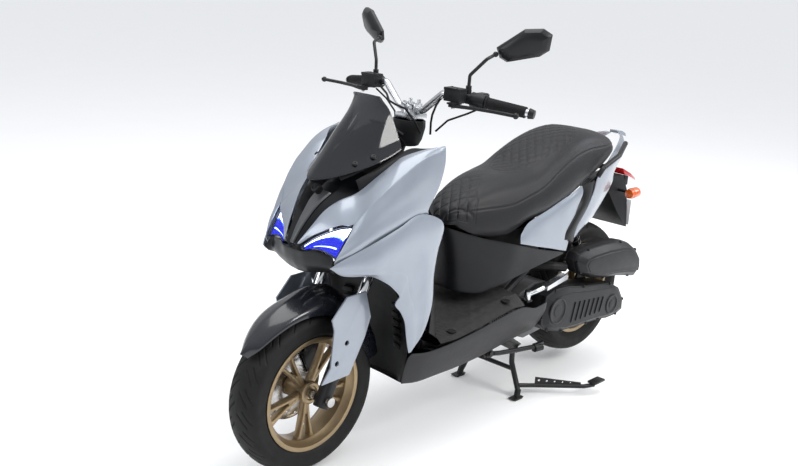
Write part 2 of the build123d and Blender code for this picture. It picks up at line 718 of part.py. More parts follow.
# side wing: from the tip beside the lamp to the lower rear tail
WT = [(694, 142.5, 655.5), (667, 160, 677), (588, 200, 722), (512, 219, 757), (440, 226, 786), (361, 228, 764), (334, 228, 730), (352, 227, 664), (357, 222, 589), (346, 212, 494), (358, 198, 410), (394, 186, 353)]
W1 = [(693.5, 142.8, 655), (665, 166, 657), (598, 207, 656), (540, 222, 676), (474, 232, 702), (425, 235, 700), (400, 233, 655), (394, 227, 610), (388, 220, 560), (376, 208, 488), (374, 196, 405), (397, 187, 352.5)]
W2 = [(693, 142.8, 654.5), (660, 165, 640), (590, 202, 634), (536, 210, 628), (492, 215, 626), (462, 215, 610), (446, 208, 568), (428, 205, 530), (412, 202, 505), (402, 199, 458), (392, 193, 392), (400, 187, 352)]
WB = [(692.5, 142.5, 654), (657, 160, 631), (581, 188, 622), (530, 198, 596), (498, 200, 571), (473, 200, 543), (479, 190, 518), (456, 190, 492), (433, 188, 456), (422, 187, 410), (412, 185, 377), (404, 184, 351)]


def wing():
    return panel(refine([WT, W1, W2, WB], 2, 2), (470, 0, 620))


WG = wing()
put("side_wing_l", WG)
put("side_wing_r", my(WG))

# nose: valleys beside a raised centre strip, full width in one grid
NS = [(705, 696), (680, 738), (650, 776), (624, 803), (590, 826), (545, 852), (500, 885)]      # strip centre line (x, z)
NEDGE = [(707, 21.5, 696), (672, 40, 746), (641, 54, 785), (606, 74, 812), (563, 99, 832), (514, 122, 873), (472, 139, 907)]
NVAL = [(703, 15, 688), (664, 26, 730), (632, 36, 764), (600, 48, 786), (560, 66, 806), (520, 84, 836), (480, 98, 868)]
NCW = [9, 14, 19, 25, 30, 34, 36]


def nose():
    rows = []
    for (x, z), e, v, w in zip(NS, NEDGE, NVAL, NCW):
        half = [(x, 0, z), (x - 1, w, z - 1), (v[0], max(v[1], w + 4), v[2]), e]
        rows.append([mir(p) for p in reversed(half[1:])] + half)
    return panel(refine(rows, 1, 2), (520, 0, 700), 2.5)


put("nose_panel", nose())


def strip():
    rings = []
    for (x, z), w in list(zip(NS, NCW))[0:5]:
        w = w - 2.5
        n = (0.72, 0, 0.69)
        b = (x, 0, z)
        rings.append([vadd(b, (n[0] * 1.2, -w, n[2] * 1.2)), vadd(b, (n[0] * 1.2, w, n[2] * 1.2)),
                      vadd(b, (n[0] * 7, w * 0.82, n[2] * 7)), vadd(b, (n[0] * 7, -w * 0.82, n[2] * 7))])
    return loft_poly(rings)


put("nose_strip", strip())

# lamps: clear cover, housing behind, light blade
LT = [(707, 36, 695), (686, 60, 719), (664, 95, 743), (641, 127, 759), (619, 148, 764)]
LM = [(708, 42, 690), (690, 66, 708), (675, 98, 722), (660, 126, 730), (646, 147, 728)]
LB = [(706, 44, 685), (693, 68, 694), (686, 98, 693), (681, 124, 686), (677, 143, 678)]


def off(p, d):
    return vadd(p, vmul((0.86, 0.28, 0.42), -d))


def lens():
    return panel(refine([LT, LM, LB], 2, 2), (500, 60, 650), 2.0)


LN = lens()
put("lamp_cover_l", LN)
put("lamp_cover_r", my(LN))


def lamp_housing():
    def sh(row, d, f):
        c = (676, 95, 712)
        return [off(lerp(c, p, f), d) for p in row]
    ring0 = sh(LT, 6, 0.97) + sh(list(reversed(LB)), 6, 0.97)
    ring1 = sh(LT, 40, 0.74) + sh(list(reversed(LB)), 40, 0.74)
    ring0i = sh(LT, 5, 0.9) + sh(list(reversed(LB)), 5, 0.9)
    ring1i = sh(LT, 36, 0.66) + sh(list(reversed(LB)), 36, 0.66)
    return loft_poly([ring0, ring1]) - loft_poly([ring0i, ring1i])


LH = lamp_housing()
put("lamp_housing_l", LH)
put("lamp_housing_r", my(LH))


def blade():
    up = refine([LT, LM, LB], 2, 2)
    a = [off(lerp(p, (676, 95, 712), 0.16), 8) for p in up[0]]
    b = [off(lerp(lerp(p, q, 0.55 + 0.35 * i / len(up[0])), (676, 95, 712), 0.14), 8) for i, (p, q) in enumerate(zip(up[0], up[1]))]
    return panel([a, b], (500, 60, 650), 3.0)


BL = blade()
put("lamp_blade_l", BL)
put("lamp_blade_r", my(BL))


def projector(k):
    s = None
    for c in ((668, 84, 699), (660, 112, 701)):
        p = off(c, 10)
        q = off(c, 26)
        t = rod(q, p, 8.5)
        s = t if s is None else s + t
    return s if k > 0 else my(s)


both("lamp_projectors", projector)


# chin between and below the lamps
def chin():
    T = [(689, 138, 650), (672, 127, 679), (684, 98, 686), (692, 68, 688), (703, 42, 681), (704, 16, 680), (704, 0, 680)]
    M = [(682, 138, 642), (676, 122, 648), (684, 96, 650), (690, 66, 648), (694, 40, 644), (696, 16, 642), (697, 0, 641)]
    B = [(674, 138, 635), (664, 120, 632), (672, 94, 628), (677, 64, 622), (679, 38, 616), (677, 16, 612), (677, 0, 611)]
    rows = [r + [mir(p) for p in reversed(r[:-1])] for r in (T, M, B)]
    return panel(rows, (500, 0, 680), 2.5)


put("chin", chin())

# windscreen
SC = [[(648, 0, 868), (640, 22, 870), (612, 52, 878), (570, 82, 892), (515, 106, 910), (455, 120, 932), (416, 124, 950)],
      [(596, 0, 931), (588, 22, 931), (566, 46, 934), (532, 70, 940), (490, 88, 950), (444, 98, 968), (410, 104, 980)],
      [(548, 0, 987), (542, 20, 987), (524, 40, 989), (496, 58, 994), (464, 72, 1002), (436, 80, 1012), (412, 86, 1018)],
      [(500, 0, 1040), (496, 16, 1040), (484, 32, 1041), (468, 46, 1044), (450, 57, 1050), (434, 64, 1055), (422, 70, 1056)],
      [(453, 0, 1093), (452, 13, 1093), (450, 25, 1092.5), (449, 35, 1092), (447, 43, 1091), (445, 49, 1090), (444, 54, 1087)]]


def screen():
    rows = [[mir(p) for p in reversed(r[1:])] + r for r in SC]
    return panel(refine(rows, 1, 2), (350, 0, 850), 3.0)


put("windscreen", screen())


# black inner trims from the cowl edge to the foot of the screen
def trim(k):
    A = [(556, 103, 838), (508, 126, 882), (462, 146, 920), (438, 160, 935), (396, 188, 950), (346, 206, 957)]
    M = [(556, 98, 852), (508, 118, 893), (458, 134, 926), (430, 142, 938), (376, 150, 948), (326, 160, 950)]
    B = [(560, 90, 872), (508, 104, 896), (452, 114, 922), (420, 116, 936), (362, 112, 945), (300, 112, 936)]
    s = panel(refine([A, M, B], 2, 1), (450, 0, 700), 2.5)
    return s if k > 0 else my(s)


both("cowl_trim", trim)


def bracket(k):
    # arm that carries the screen's edge, two screws
    A = [(585, 58, 868), (530, 84, 894), (470, 98, 926), (420, 100, 950), (398, 88, 990)]
    B = [(590, 48, 880), (536, 72, 908), (474, 88, 940), (424, 90, 966), (400, 78, 998)]
    s = panel(refine([A, B], 2, 1), (350, 0, 850), 3.0)
    return s if k > 0 else my(s)


both("screen_bracket", bracket)


def dash():
    rows = [[(560, 60, 884), (560, 30, 890), (560, 0, 892)],
            [(500, 74, 916), (500, 36, 926), (500, 0, 930)],
            [(440, 82, 948), (440, 40, 968), (440, 0, 974)],
            [(392, 72, 978), (392, 36, 996), (392, 0, 1002)],
            [(352, 62, 960), (352, 34, 976), (352, 0, 980)],
            [(327, 57, 939), (329, 30, 945), (331, 0, 947)]]
    rows = [r + [mir(p) for p in reversed(r[:-1])] for r in rows]
    return panel(rows, (440, 0, 800), 2.5)


put("dash_hood", dash())


def display():
    # screen of the instrument, on the rear slope of the hood
    a, b = (384, 0, 1001.5), (332, 0, 958)
    n = vunit((-(a[2] - b[2]), 0, (a[0] - b[0])))
    n = (-0.55, 0, 0.84)
    r = []
    for h in (2.5, 9.0):
        w = 44 if h < 5 else 41
        r.append([vadd((386, -w + 6, 999.5), vmul(n, h)), vadd((386, w - 6, 999.5), vmul(n, h)), vadd((336, w, 968.5), vmul(n, h)), vadd((336, -w, 968.5), vmul(n, h))])
    return loft_poly(r)


put("instrument", display())


# rear face of the leg shield
def legshield():
    rows = [[(330, 205, 950), (292, 120, 925), (266, 84, 908), (232, 70, 896), (204, 40, 888), (198, 0, 886)],
            [(336, 214, 905), (300, 160, 888), (262, 110, 872), (234, 72, 864), (214, 40, 860), (208, 0, 859)],
            [(360, 218, 846), (318, 170, 830), (268, 120, 810), (238, 76, 800), (222, 40, 796), (217, 0, 795)],
            [(388, 214, 793), (322, 172, 760), (272, 124, 740), (244, 78, 730), (230, 40, 726), (226, 0, 725)],
            [(330, 222, 722), (310, 176, 690), (272, 128, 670), (246, 80, 660), (234, 40, 656), (230, 0, 655)],
            [(346, 220, 650), (310, 178, 610), (266, 130, 590), (244, 82, 580), (234, 40, 576), (230, 0, 575)],
            [(350, 214, 575), (300, 176, 520), (254, 130, 500), (238, 84, 490), (230, 40, 486), (227, 0, 485)],
            [(336, 204, 480), (286, 176, 440), (250, 132, 420), (234, 86, 410), (226, 40, 406), (223, 0, 405)],
            [(330, 196, 400), (276, 178, 366), (250, 134, 362), (236, 88, 360), (226, 40, 360), (223, 0, 360)]]
    rows = [[r[0]] + r[1:] for r in rows]
    rows = [[p for p in r] + [mir(p) for p in reversed(r[:-1])] for r in rows]
    return panel(refine(rows, 1, 1), (420, 0, 650), 3.0)


put("leg_shield", legshield())


# liner behind the front wheel
def liner():
    rows = [[(448, 148, 546), (404, 118, 560), (396, 60, 565), (394, 0, 565)],
            [(414, 152, 500), (388, 120, 500), (376, 60, 500), (374, 0, 500)],
            [(398, 160, 440), (372, 120, 440), (358, 60, 440), (355, 0, 440)],
            [(396, 168, 370), (368, 120, 370), (352, 60, 370), (350, 0, 370)],
            [(396, 166, 300), (372, 118, 300), (358, 60, 300), (356, 0, 300)],
            [(398, 150, 246), (380, 116, 244), (368, 60, 244), (366, 0, 244)]]
    rows = [r + [mir(p) for p in reversed(r[:-1])] for r in rows]
    return panel(rows, (250, 0, 450), 2.5)


put("front_liner", liner())


def inlet(k):
    # dark duct wall behind the wing's front opening
    A = [(560, 178, 612), (520, 188, 588), (488, 190, 563), (464, 188, 536), (454, 183, 520)]
    B = [(548, 150, 640), (506, 158, 622), (476, 160, 600), (460, 160, 578), (452, 160, 560)]
    s = panel(refine([A, B], 2, 1), (400, 60, 640), 2.5)
    return s if k > 0 else my(s)


both("wing_duct", inlet)


# ================================================================ floor, skirts, belly
def floorboard():
    rows = [[(262, 186, 346), (243, 150, 350), (226, 100, 351), (214, 0, 351)],
            [(205, 196, 349), (200, 150, 357), (196, 100, 358), (192, 0, 358)],
            [(143, 201, 358), (143, 150, 368), (143, 100, 369), (143, 0, 369)],
            [(70, 206, 372), (70, 150, 384), (70, 112, 385), (70, 0, 385)],
            [(0, 208, 384), (0, 154, 398), (0, 122, 399), (-0.1, 0, 399)],
            [(-60, 208, 392), (-60, 160, 410), (-60, 140, 411), (-60, 0, 411)],
            [(-130, 204, 386), (-130, 168, 414), (-130, 146, 418), (-130, 0, 418)]]
    rows = [r + [mir(p) for p in reversed(r[:-1])] for r in rows]
    s = panel(rows, (60, 0, 300), 3.0)
    # opening under the seat pillar
    return s - slab([(50, 300), (-150, 300), (-150, 480), (50, 480)], -96, 96)


put("floorboard", floorboard())


def mat_ribs(k):
    s = None
    for x in (232, 210, 188, 166, 144, 122, 100):
        z = 352 + (262 - x) * 0.13 + 3.6
        b = box(x - 5, x + 5, 22 if k > 0 else -132, 132 if k > 0 else -22, z, z + 3.0)
        s = b if s is None else s + b
    return s


def plug(k):
    out = rod((184, 160 * k, 366), (184, 160 * k, 372), 15) + rod((-60, 176 * k, 409.5), (-60, 176 * k, 414), 15)
    return out


def skirt(k):
    rows = [[(394, 189, 346), (330, 196, 338), (245, 202, 342), (143, 207, 354), (19, 212, 374), (-60, 214, 386), (-118, 213, 385), (-190, 207, 366), (-257, 203, 372)],
            [(400, 180, 330), (330, 190, 316), (245, 198, 322), (143, 203, 332), (19, 207, 348), (-60, 208, 354), (-118, 206, 350), (-190, 200, 340), (-260, 196, 338)],
            [(403, 168, 285), (330, 174, 270), (245, 180, 272), (143, 184, 278), (19, 184, 286), (-60, 182, 292), (-118, 180, 292), (-190, 176, 290), (-262, 172, 290)],
            [(400, 160, 243), (330, 160, 230), (245, 160, 229), (143, 160, 229), (19, 157, 234), (-60, 155, 241), (-118, 153, 247), (-190, 152, 252), (-255, 151, 256)]]
    s = panel(rows, (60, 0, 320), 3.0)
    return s if k > 0 else my(s)


both("lower_skirt", skirt)


def belly():
    rows = [[(392, 150, 241), (374, 0, 236)], [(330, 152, 228), (330, 0, 226)], [(143, 152, 227), (143, 0, 226)], [(19, 149, 232), (19, 0, 230)], [(-24, 147, 236), (-24, 0, 233)]]
    rows = [r + [mir(p) for p in reversed(r[:-1])] for r in rows]
    return panel(rows, (100, 0, 300), 2.5)


put("belly_pan", belly())


# ================================================================ under the seat
def underseat():
    cols = [((95, 0, 647), (62, 0, 438)), ((85, 38, 645), (57, 48, 434)), ((46, 74, 630), (28, 86, 431)), ((-12, 111, 611), (-16, 112, 430)),
            ((-70, 140, 597), (-62, 128, 442)), ((-118, 158, 584), (-106, 142, 457)), ((-180, 161, 566), (-180, 152, 475)), ((-250, 163, 546), (-255, 160, 491)), ((-380, 164, 514), (-384, 163, 508))]
    rows = []
    for f in (0, 0.34, 0.68, 1.0):
        r = []
        for j, (a, b) in enumerate(cols):
            p = lerp(a, b, f)
            if f in (0.34, 0.68) and j < 4:
                p = vadd(p, (-8, 0, 0))
            r.append(p)
        rows.append([mir(p) for p in reversed(r[1:])] + r)
    return panel(rows, (-250, 0, 540), 3.0)


put("underseat_cover", underseat())


def side_panel(k):
    T = [(-133, 162, 616), (-174, 153, 644), (-216, 152, 658), (-290, 151, 676), (-354, 150, 694), (-430, 147, 714), (-488, 143, 731)]
    M = [(-129, 164, 602), (-165, 160, 622), (-216, 160, 634), (-290, 160, 652), (-354, 158, 670), (-420, 156, 690), (-489, 149, 702)]
    N = [(-127, 167, 595), (-160, 165, 602), (-216, 165, 600), (-290, 164, 602), (-352, 163, 610), (-400, 160, 625), (-448, 155, 643)]
    B = [(-125, 168, 589), (-158, 168, 580), (-216, 168, 564), (-290, 167, 545), (-340, 166, 531), (-372, 165, 522), (-397, 164.5, 516)]
    s = panel(refine([T, M, N, B], 2, 1), (-280, 0, 600), 3.0)
    return s if k > 0 else my(s)


both("side_panel", side_panel)


def boomerang(k):
    F1 = [(-396, 167.5, 556), (-404, 167, 582), (-425, 164, 607), (-455, 160, 634), (-474, 158, 652), (-500, 153, 678), (-512, 149, 708), (-508, 146, 734)]
    F2 = [(-424, 168, 543), (-432, 166, 570), (-450, 163.5, 595), (-484, 159, 624), (-508, 156.5, 648), (-534, 152, 677), (-548, 149, 708), (-550, 146, 738)]
    s = panel(refine([F1, F2], 1, 1), (-450, 0, 620), 4.0)
    return s if k > 0 else my(s)


both("boomerang_trim", boomerang)


def tail_panel(k):
    A = [(-420, 161, 553), (-470, 159, 602), (-512, 157, 646), (-553, 152, 700), (-580, 146, 750), (-660, 130, 795), (-745, 103, 829), (-830, 64, 850), (-880, 30, 860)]
    B = [(-466, 150, 552), (-520, 146, 578), (-573, 140, 597), (-650, 127, 642), (-730, 112, 700), (-752, 104, 738), (-819, 85, 783), (-880, 58, 822), (-908, 24, 852)]
    M = [lerp(a, b, 0.5) for a, b in zip(A, B)]
    M = [vadd(p, (0, 5, -1)) for p in M]
    s = panel(refine([A, M, B], 2, 1), (-550, 0, 700), 3.0)
    return s if k > 0 else my(s)


both("tail_panel", tail_panel)
put("tail_cap", loft_poly([[(-886, -17, 856), (-886, 17, 856), (-886, 17, 866), (-886, -17, 866)], [(-918, -19, 846), (-918, 19, 846), (-918, 18, 862), (-918, -18, 862)], [(-946, -20, 838), (-946, 20, 838), (-946, 16, 850), (-946, -16, 850)]]))


# seat cushion: sections along x
SEAT = [  # x, half width, top z, edge z, under z
    (104, 20, 686, 664, 661), (92, 46, 702, 661, 659), (76, 60, 716, 661, 659.5), (60, 70, 727, 650, 647), (20, 92, 749, 630, 628), (-50, 118, 775, 618, 616), (-120, 138, 790, 622, 620),
    (-190, 150, 797, 656, 652), (-260, 154, 812, 668, 662), (-330, 155, 846, 684, 680), (-400, 153, 877, 704, 700), (-470, 148, 899, 728, 724),
    (-540, 140, 910, 752, 748), (-610, 130, 903, 776, 770), (-680, 113, 889, 792, 788), (-750, 86, 867, 804, 800), (-805, 52, 834, 808, 804), (-830, 26, 818, 808, 805)]


def seat_ring(x, w, zt, ze, zu, grow=0.0):
    h = zt - ze
    half = [(w * 0.55, zu), (w * 0.93, zu), (w, ze + h * 0.16), (w * 0.985, ze + h * 0.42), (w * 0.90, ze + h * 0.66), (w * 0.74, ze + h * 0.86), (w * 0.40, ze + h * 0.985)]
    pts = [(x, 0, zu)] + [(x, y, z) for y, z in half] + [(x, 0, zt)] + [(x, -y, z) for y, z in reversed(half)]
    return pts


put("seat_cushion", loft_poly([seat_ring(*s) for s in SEAT]))


HGX, HGZ = 78.0, 640.0      # seat hinge pin


def seat_pan():
    rings = []
    for x, w, zt, ze, zu in SEAT[4:-1]:
        ww = w * 0.88 - 4
        rings.append([(x, -ww, zu - 9), (x, ww, zu - 9), (x, ww, zu - 0.6), (x, -ww, zu - 0.6)])
    s = loft_poly(rings)
    # hinge ears reach forward to the pin
    for k in (1, -1):
        s = s + slab([(22, 618), (22, 626), (60, 644), (72, 647), (84, 643), (84, 637), (76, 633), (60, 634)], 11 * k - 3, 11 * k + 3)
    return s - rod((HGX, -40, HGZ), (HGX, 40, HGZ), 3 + CLR)


put("seat_pan", seat_pan())
put("seat_hinge", rod((HGX, -22, HGZ), (HGX, 22, HGZ), 3) + slab([(66, 640), (72, 646), (82, 645), (82, 634), (64, 596), (56, 596)], 18, 23) + slab([(66, 640), (72, 646), (82, 645), (82, 634), (64, 596), (56, 596)], -23, -18) + box(40, 64, -23, 23, 592, 597))


# storage bucket (hollow, open on top)
def bucket():
    o = loft_poly([[(-300, -106, 500), (4, -62, 466), (4, 62, 466), (-300, 106, 500)], [(-320, -120, 622), (18, -56, 588), (18, 56, 588), (-320, 120, 622)]])
    i = loft_poly([[(-297, -103, 503), (1, -59, 469), (1, 59, 469), (-297, 103, 503)], [(-317, -117, 624), (15, -53, 590), (15, 53, 590), (-317, 117, 624)]])
    return o - i


put("storage_bucket", bucket())
put("fuel_tank", loft_poly([[(-14, -84, 244), (104, -84, 240), (104, 84, 240), (-14, 84, 244)], [(-14, -90, 262), (104, -90, 256), (104, 90, 256), (-14, 90, 262)], [(-14, -90, 350), (104, -90, 340), (104, 90, 340), (-14, 90, 350)], [(-8, -80, 362), (98, -80, 352), (98, 80, 352), (-8, 80, 362)]]))


def grab(k):
    s = tube([(-562, 156 * k, 756), (-582, 161 * k, 784), (-700, 148 * k, 814), (-800, 108 * k, 842)], 9.0, 16)
    return s


both("grab_rail", grab)

# lights and plate carrier
put("tail_light", loft_poly([[(-920, -48, 700), (-920, 48, 700), (-912, 44, 722), (-912, -44, 722)], [(-985, -44, 676), (-985, 44, 676), (-975, 40, 696), (-975, -40, 696)], [(-1040, -30, 654), (-1040, 30, 654), (-1036, 27, 667), (-1036, -27, 667)]]))


def carrier():
    s = loft_poly([[(-770, -52, 690), (-770, 52, 690), (-905, 52, 700), (-905, -52, 700)],
                   [(-806, -60, 640), (-806, 60, 640), (-930, 60, 640), (-930, -60, 640)],
                   [(-850, -74, 568), (-850, 74, 568), (-920, 74, 575), (-920, -74, 575)],
                   [(-908, -80, 502), (-908, 80, 502), (-922, 80, 498), (-922, -80, 498)]])
    s = s + box(-946, -920, -50, 50, 655, 690)
    return s


put("plate_carrier", carrier())
put("number_plate", loft_poly([[(-928, -85, 604), (-928, 85, 604), (-931, 85, 604), (-931, -85, 604)], [(-926, -85, 506), (-926, 85, 506), (-929, 85, 506), (-929, -85, 506)]]))


def signal(k):
    s = rod((-862, 62 * k, 650), (-862, 103.6 * k, 650), 6)
    return s


both("signal_stalk", signal)
both("turn_signal", lambda k: rod((-852, 124 * k, 648), (-838, 124 * k, 648), 19, 17) + rod((-890, 124 * k, 648), (-852, 124 * k, 648), 20))

# ================================================================ engine unit (swings)
put("crankcase", slab([(-240, 250), (-236, 312), (-214, 320), (-214, 348), (-242, 350), (-262, 372), (-330, 392), (-404, 384), (-420, 330), (-420, 240), (-400, 206), (-300, 196), (-262, 210)], -88, 88)
    - rod((-228, -100, 334), (-228, 100, 334), 6 + CLR))


def cylinder():
    s = rod((-232, 0, 262), (-150, 0, 270), 42)
    for i in range(7):
        x = -226 + i * 11
        s = s + box(x, x + 4, -56, 56, 215, 311)
    s = s + box(-148, -96, -52, 52, 226, 316)
    return s


put("cylinder", slab([(-235.8, 225), (-235.8, 300), (-150, 306), (-150, 222)], -40, 40)
    + sum([box(-232 + i * 11, -228 + i * 11, -56, 56, 216, 312) for i in range(8)], Part()) + slab([(-152, 222), (-152, 312), (-110, 312), (-96, 296), (-96, 232), (-110, 222)], -50, 50))
CO = [(-276, 300), (-296, 372), (-345, 388), (-426, 384), (-520, 366), (-620, 352), (-700, 340), (-762, 309), (-800, 257), (-802, 217), (-762, 204), (-700, 203), (-640, 211), (-560, 214), (-400, 222), (-310, 246), (-280, 272)]


def shrink(o, f):
    cx = sum(p[0] for p in o) / len(o)
    cz = sum(p[1] for p in o) / len(o)
    return [(cx + (x - cx) * (1 - f * 0.45), cz + (z - cz) * (1 - f)) for x, z in o]


put("cvt_case", slab(CO, 92.2, 152))
put("cvt_cover", slab(CO, 152.2, 172) + loft_poly([[(x, 172, z) for x, z in shrink(CO, 0.06)], [(x, 186, z) for x, z in shrink(CO, 0.24)]]))
put("gearcase", slab([(-420.5, 300), (-424, 372), (-520, 350), (-560, 330), (-640, 338), (-730, 326), (-740, 262), (-690, 236), (-560, 240), (-421, 250)], 72.5, 92)
    + slab([(-340, 250), (-340, 380), (-426, 370), (-426, 250)], 88.2, 92)
    - rod((AXR, 60, ZR), (AXR, 140, ZR), R_AX + CLR))
put("swing_arm_right", slab([(-420.5, 260), (-420.5, 350), (-500, 330), (-640, 318), (-716, 310), (-716, 274), (-640, 268), (-500, 262)], -92, -78)
    + slab([(-360, 250), (-360, 366), (-430, 350), (-430, 256)], -92, -88.2) - rod((AXR, -100, ZR), (AXR, -60, ZR), R_AX + CLR))
put("rear_axle", rod((AXR, -104, ZR), (AXR, 92, ZR), R_AX) + rod((AXR, -104, ZR), (AXR, -92.2, ZR), 12))
put("rear_spacers", ring((AXR, -77.8, ZR), (AXR, -44.4, ZR), 11.5, R_AX + 0.02) + ring((AXR, 58.3, ZR), (AXR, 71.8, ZR), 15, R_AX + 0.02))
put("rear_caliper", slab([(AXR + 76, ZR + 40), (AXR + 60, ZR + 84), (AXR + 96, ZR + 104), (AXR + 124, ZR + 56), (AXR + 118, ZR + 30)], -77.8, -30)
    - slab([(AXR - 20, ZR - 20), (AXR + 111, ZR - 20), (AXR + 111, ZR + 130), (AXR - 20, ZR + 130)], -46.5, -37.7))

# airbox above the CVT case, left
AO = [(-455, 470), (-470, 494), (-520, 504), (-645, 505), (-740, 496), (-800, 480), (-855, 445), (-886, 400), (-892, 352), (-866, 330), (-820, 340), (-715, 361), (-640, 368), (-560, 385), (-480, 420)]


def airbox():
    a = loft_poly([[(x, 116, z) for x, z in shrink(AO, 0.10)], [(x, 128, z) for x, z in AO], [(x, 158, z) for x, z in shrink(AO, 0.03)]])
    return a


def airbox_cover():
    return loft_poly([[(x, 158.3, z) for x, z in shrink(AO, 0.02)], [(x, 172, z) for x, z in shrink(AO, 0.08)], [(x, 192, z) for x, z in shrink(AO, 0.34)]])


put("airbox", airbox())
put("airbox_cover", airbox_cover())
put("intake_duct", tube([(-440, 118, 446), (-400, 100, 452), (-330, 60, 452), (-285, 30, 420), (-268, 10, 392)], 19, 26) - rod((-470, 118, 446), (-440.5, 118, 446), 40) if False else
    tube([(-448, 136, 440), (-400, 112, 446), (-340, 50, 444), (-306, 12, 426), (-300, 0, 398)], 16, 20))

# exhaust on the right
put("exhaust_pipe", tube([(-124, 0, 221.5), (-124, 0, 192), (-138, -90, 190), (-176, -136, 200), (-300, -142, 216), (-440, -168, 262)], 12, 20))
put("muffler", rod((-441, -168.3, 262.4), (-486, -170, 282), 14, 48) + rod((-486, -170, 282), (-780, -172, 396), 50) + rod((-780, -172, 396), (-812, -172, 408.5), 48, 32)
    + rod((-812, -172, 408), (-836, -172, 417), 12) + slab([(-560, 306), (-604, 306), (-604, 326), (-560, 326)], -140, -92.3))
put("muffler_shield", loft_poly([[(-500, -223, 262), (-770, -225, 368), (-764, -225, 422), (-508, -223, 324)], [(-506, -227, 268), (-762, -229, 372), (-760, -229, 415), (-514, -227, 320)]]))

# ================================================================ rear shocks
SU = (-505.0, 592.0)     # upper mount x, z
SL = (-640.0, 376.0)     # lower mount
SD = vunit((SL[0] - SU[0], 0, SL[1] - SU[1]))
SLEN = math.hypot(SL[0] - SU[0], SL[1] - SU[1])


def sp(y, s, off_=0.0):
    return (SU[0] + SD[0] * s, y, SU[1] + SD[2] * s)
SHY = 92.0


def shock_upper(k):
    y = SHY * k
    s = rod(sp(y, 10), sp(y, 140), 12.5) + rod((SU[0], y - 9, SU[1]), (SU[0], y + 9, SU[1]), 14) + rod(sp(y, 26), sp(y, 32), 20.5)
    s = s - rod(sp(y, 60), sp(y, 160), 6.5)
    return s - rod((SU[0], y - 20, SU[1]), (SU[0], y + 20, SU[1]), 5 + CLR)


def shock_lower(k):
    y = SHY * k
    s = rod(sp(y, 100), sp(y, SLEN - 10), 5.0) + rod((SL[0], y - 9, SL[1]), (SL[0], y + 9, SL[1]), 13) + rod(sp(y, SLEN - 30), sp(y, SLEN - 24), 20.5) + rod(sp(y, SLEN - 26), sp(y, SLEN - 8), 9)
    return s - rod((SL[0], y - 20, SL[1]), (SL[0], y + 20, SL[1]), 5 + CLR)


def shock_spring(k):
    y = SHY * k
    a, b = 32.2, SLEN - 30.2
    turns, r = 8, 16.9
    h = b - a
    hx = Helix(pitch=(h - 6.5) / turns, height=h - 6.5, radius=r)
    pl = Plane(origin=hx @ 0, z_dir=hx % 0)
    w = sweep(pl * Circle(2.8), path=hx)
    base = Plane(origin=sp(y, a + 3.25), z_dir=Vector(*SD))
    return base.location * w


both("shock_upper", shock_upper)
both("shock_lower", shock_lower)
both("shock_spring", shock_spring)
both("shock_pin_top", lambda k: rod((SU[0], 72 * k, SU[1]), (SU[0], 106 * k, SU[1]), 5) + rod((SU[0], 101.4 * k, SU[1]), (SU[0], 107 * k, SU[1]), 9))
both("shock_pin_low", lambda k: rod((SL[0], 74 * k, SL[1]), (SL[0], 106 * k, SL[1]), 5) + rod((SL[0], 101.4 * k, SL[1]), (SL[0], 107 * k, SL[1]), 9))

# lugs of the frame and of the gear case for the shocks
for k in (1, -1):
    lug = slab([(SU[0] + 30, SU[1] + 40), (SU[0] - 24, SU[1] + 62), (SU[0] - 16, SU[1] + 6), (SU[0] - 10, SU[1] - 8), (SU[0] + 10, SU[1] - 8), (SU[0] + 16, SU[1] + 6)], *sorted((70 * k, 79.2 * k)))
    lug = lug - rod((SU[0], 60 * k, SU[1]), (SU[0], 130 * k, SU[1]), 5.02)
    nodes["frame"] = nodes["frame"] + lug
nodes["gearcase"] = nodes["gearcase"] + (slab([(SL[0] + 40, 330), (SL[0] + 16, SL[1] + 14), (SL[0] - 16, SL[1] + 14), (SL[0] - 40, 320)], 73, 81.6) - rod((SL[0], 60, SL[1]), (SL[0], 130, SL[1]), 5.02))
nodes["swing_arm_right"] = nodes["swing_arm_right"] + (slab([(SL[0] + 36, 316), (SL[0] + 16, SL[1] + 14), (SL[0] - 16, SL[1] + 14), (SL[0] - 36, 312)], -81.6, -73) - rod((SL[0], -60, SL[1]), (SL[0], -130, SL[1]), 5.02))

# ================================================================ stands
CSX, CSZ = -248.0, 180.0      # centre stand pivot


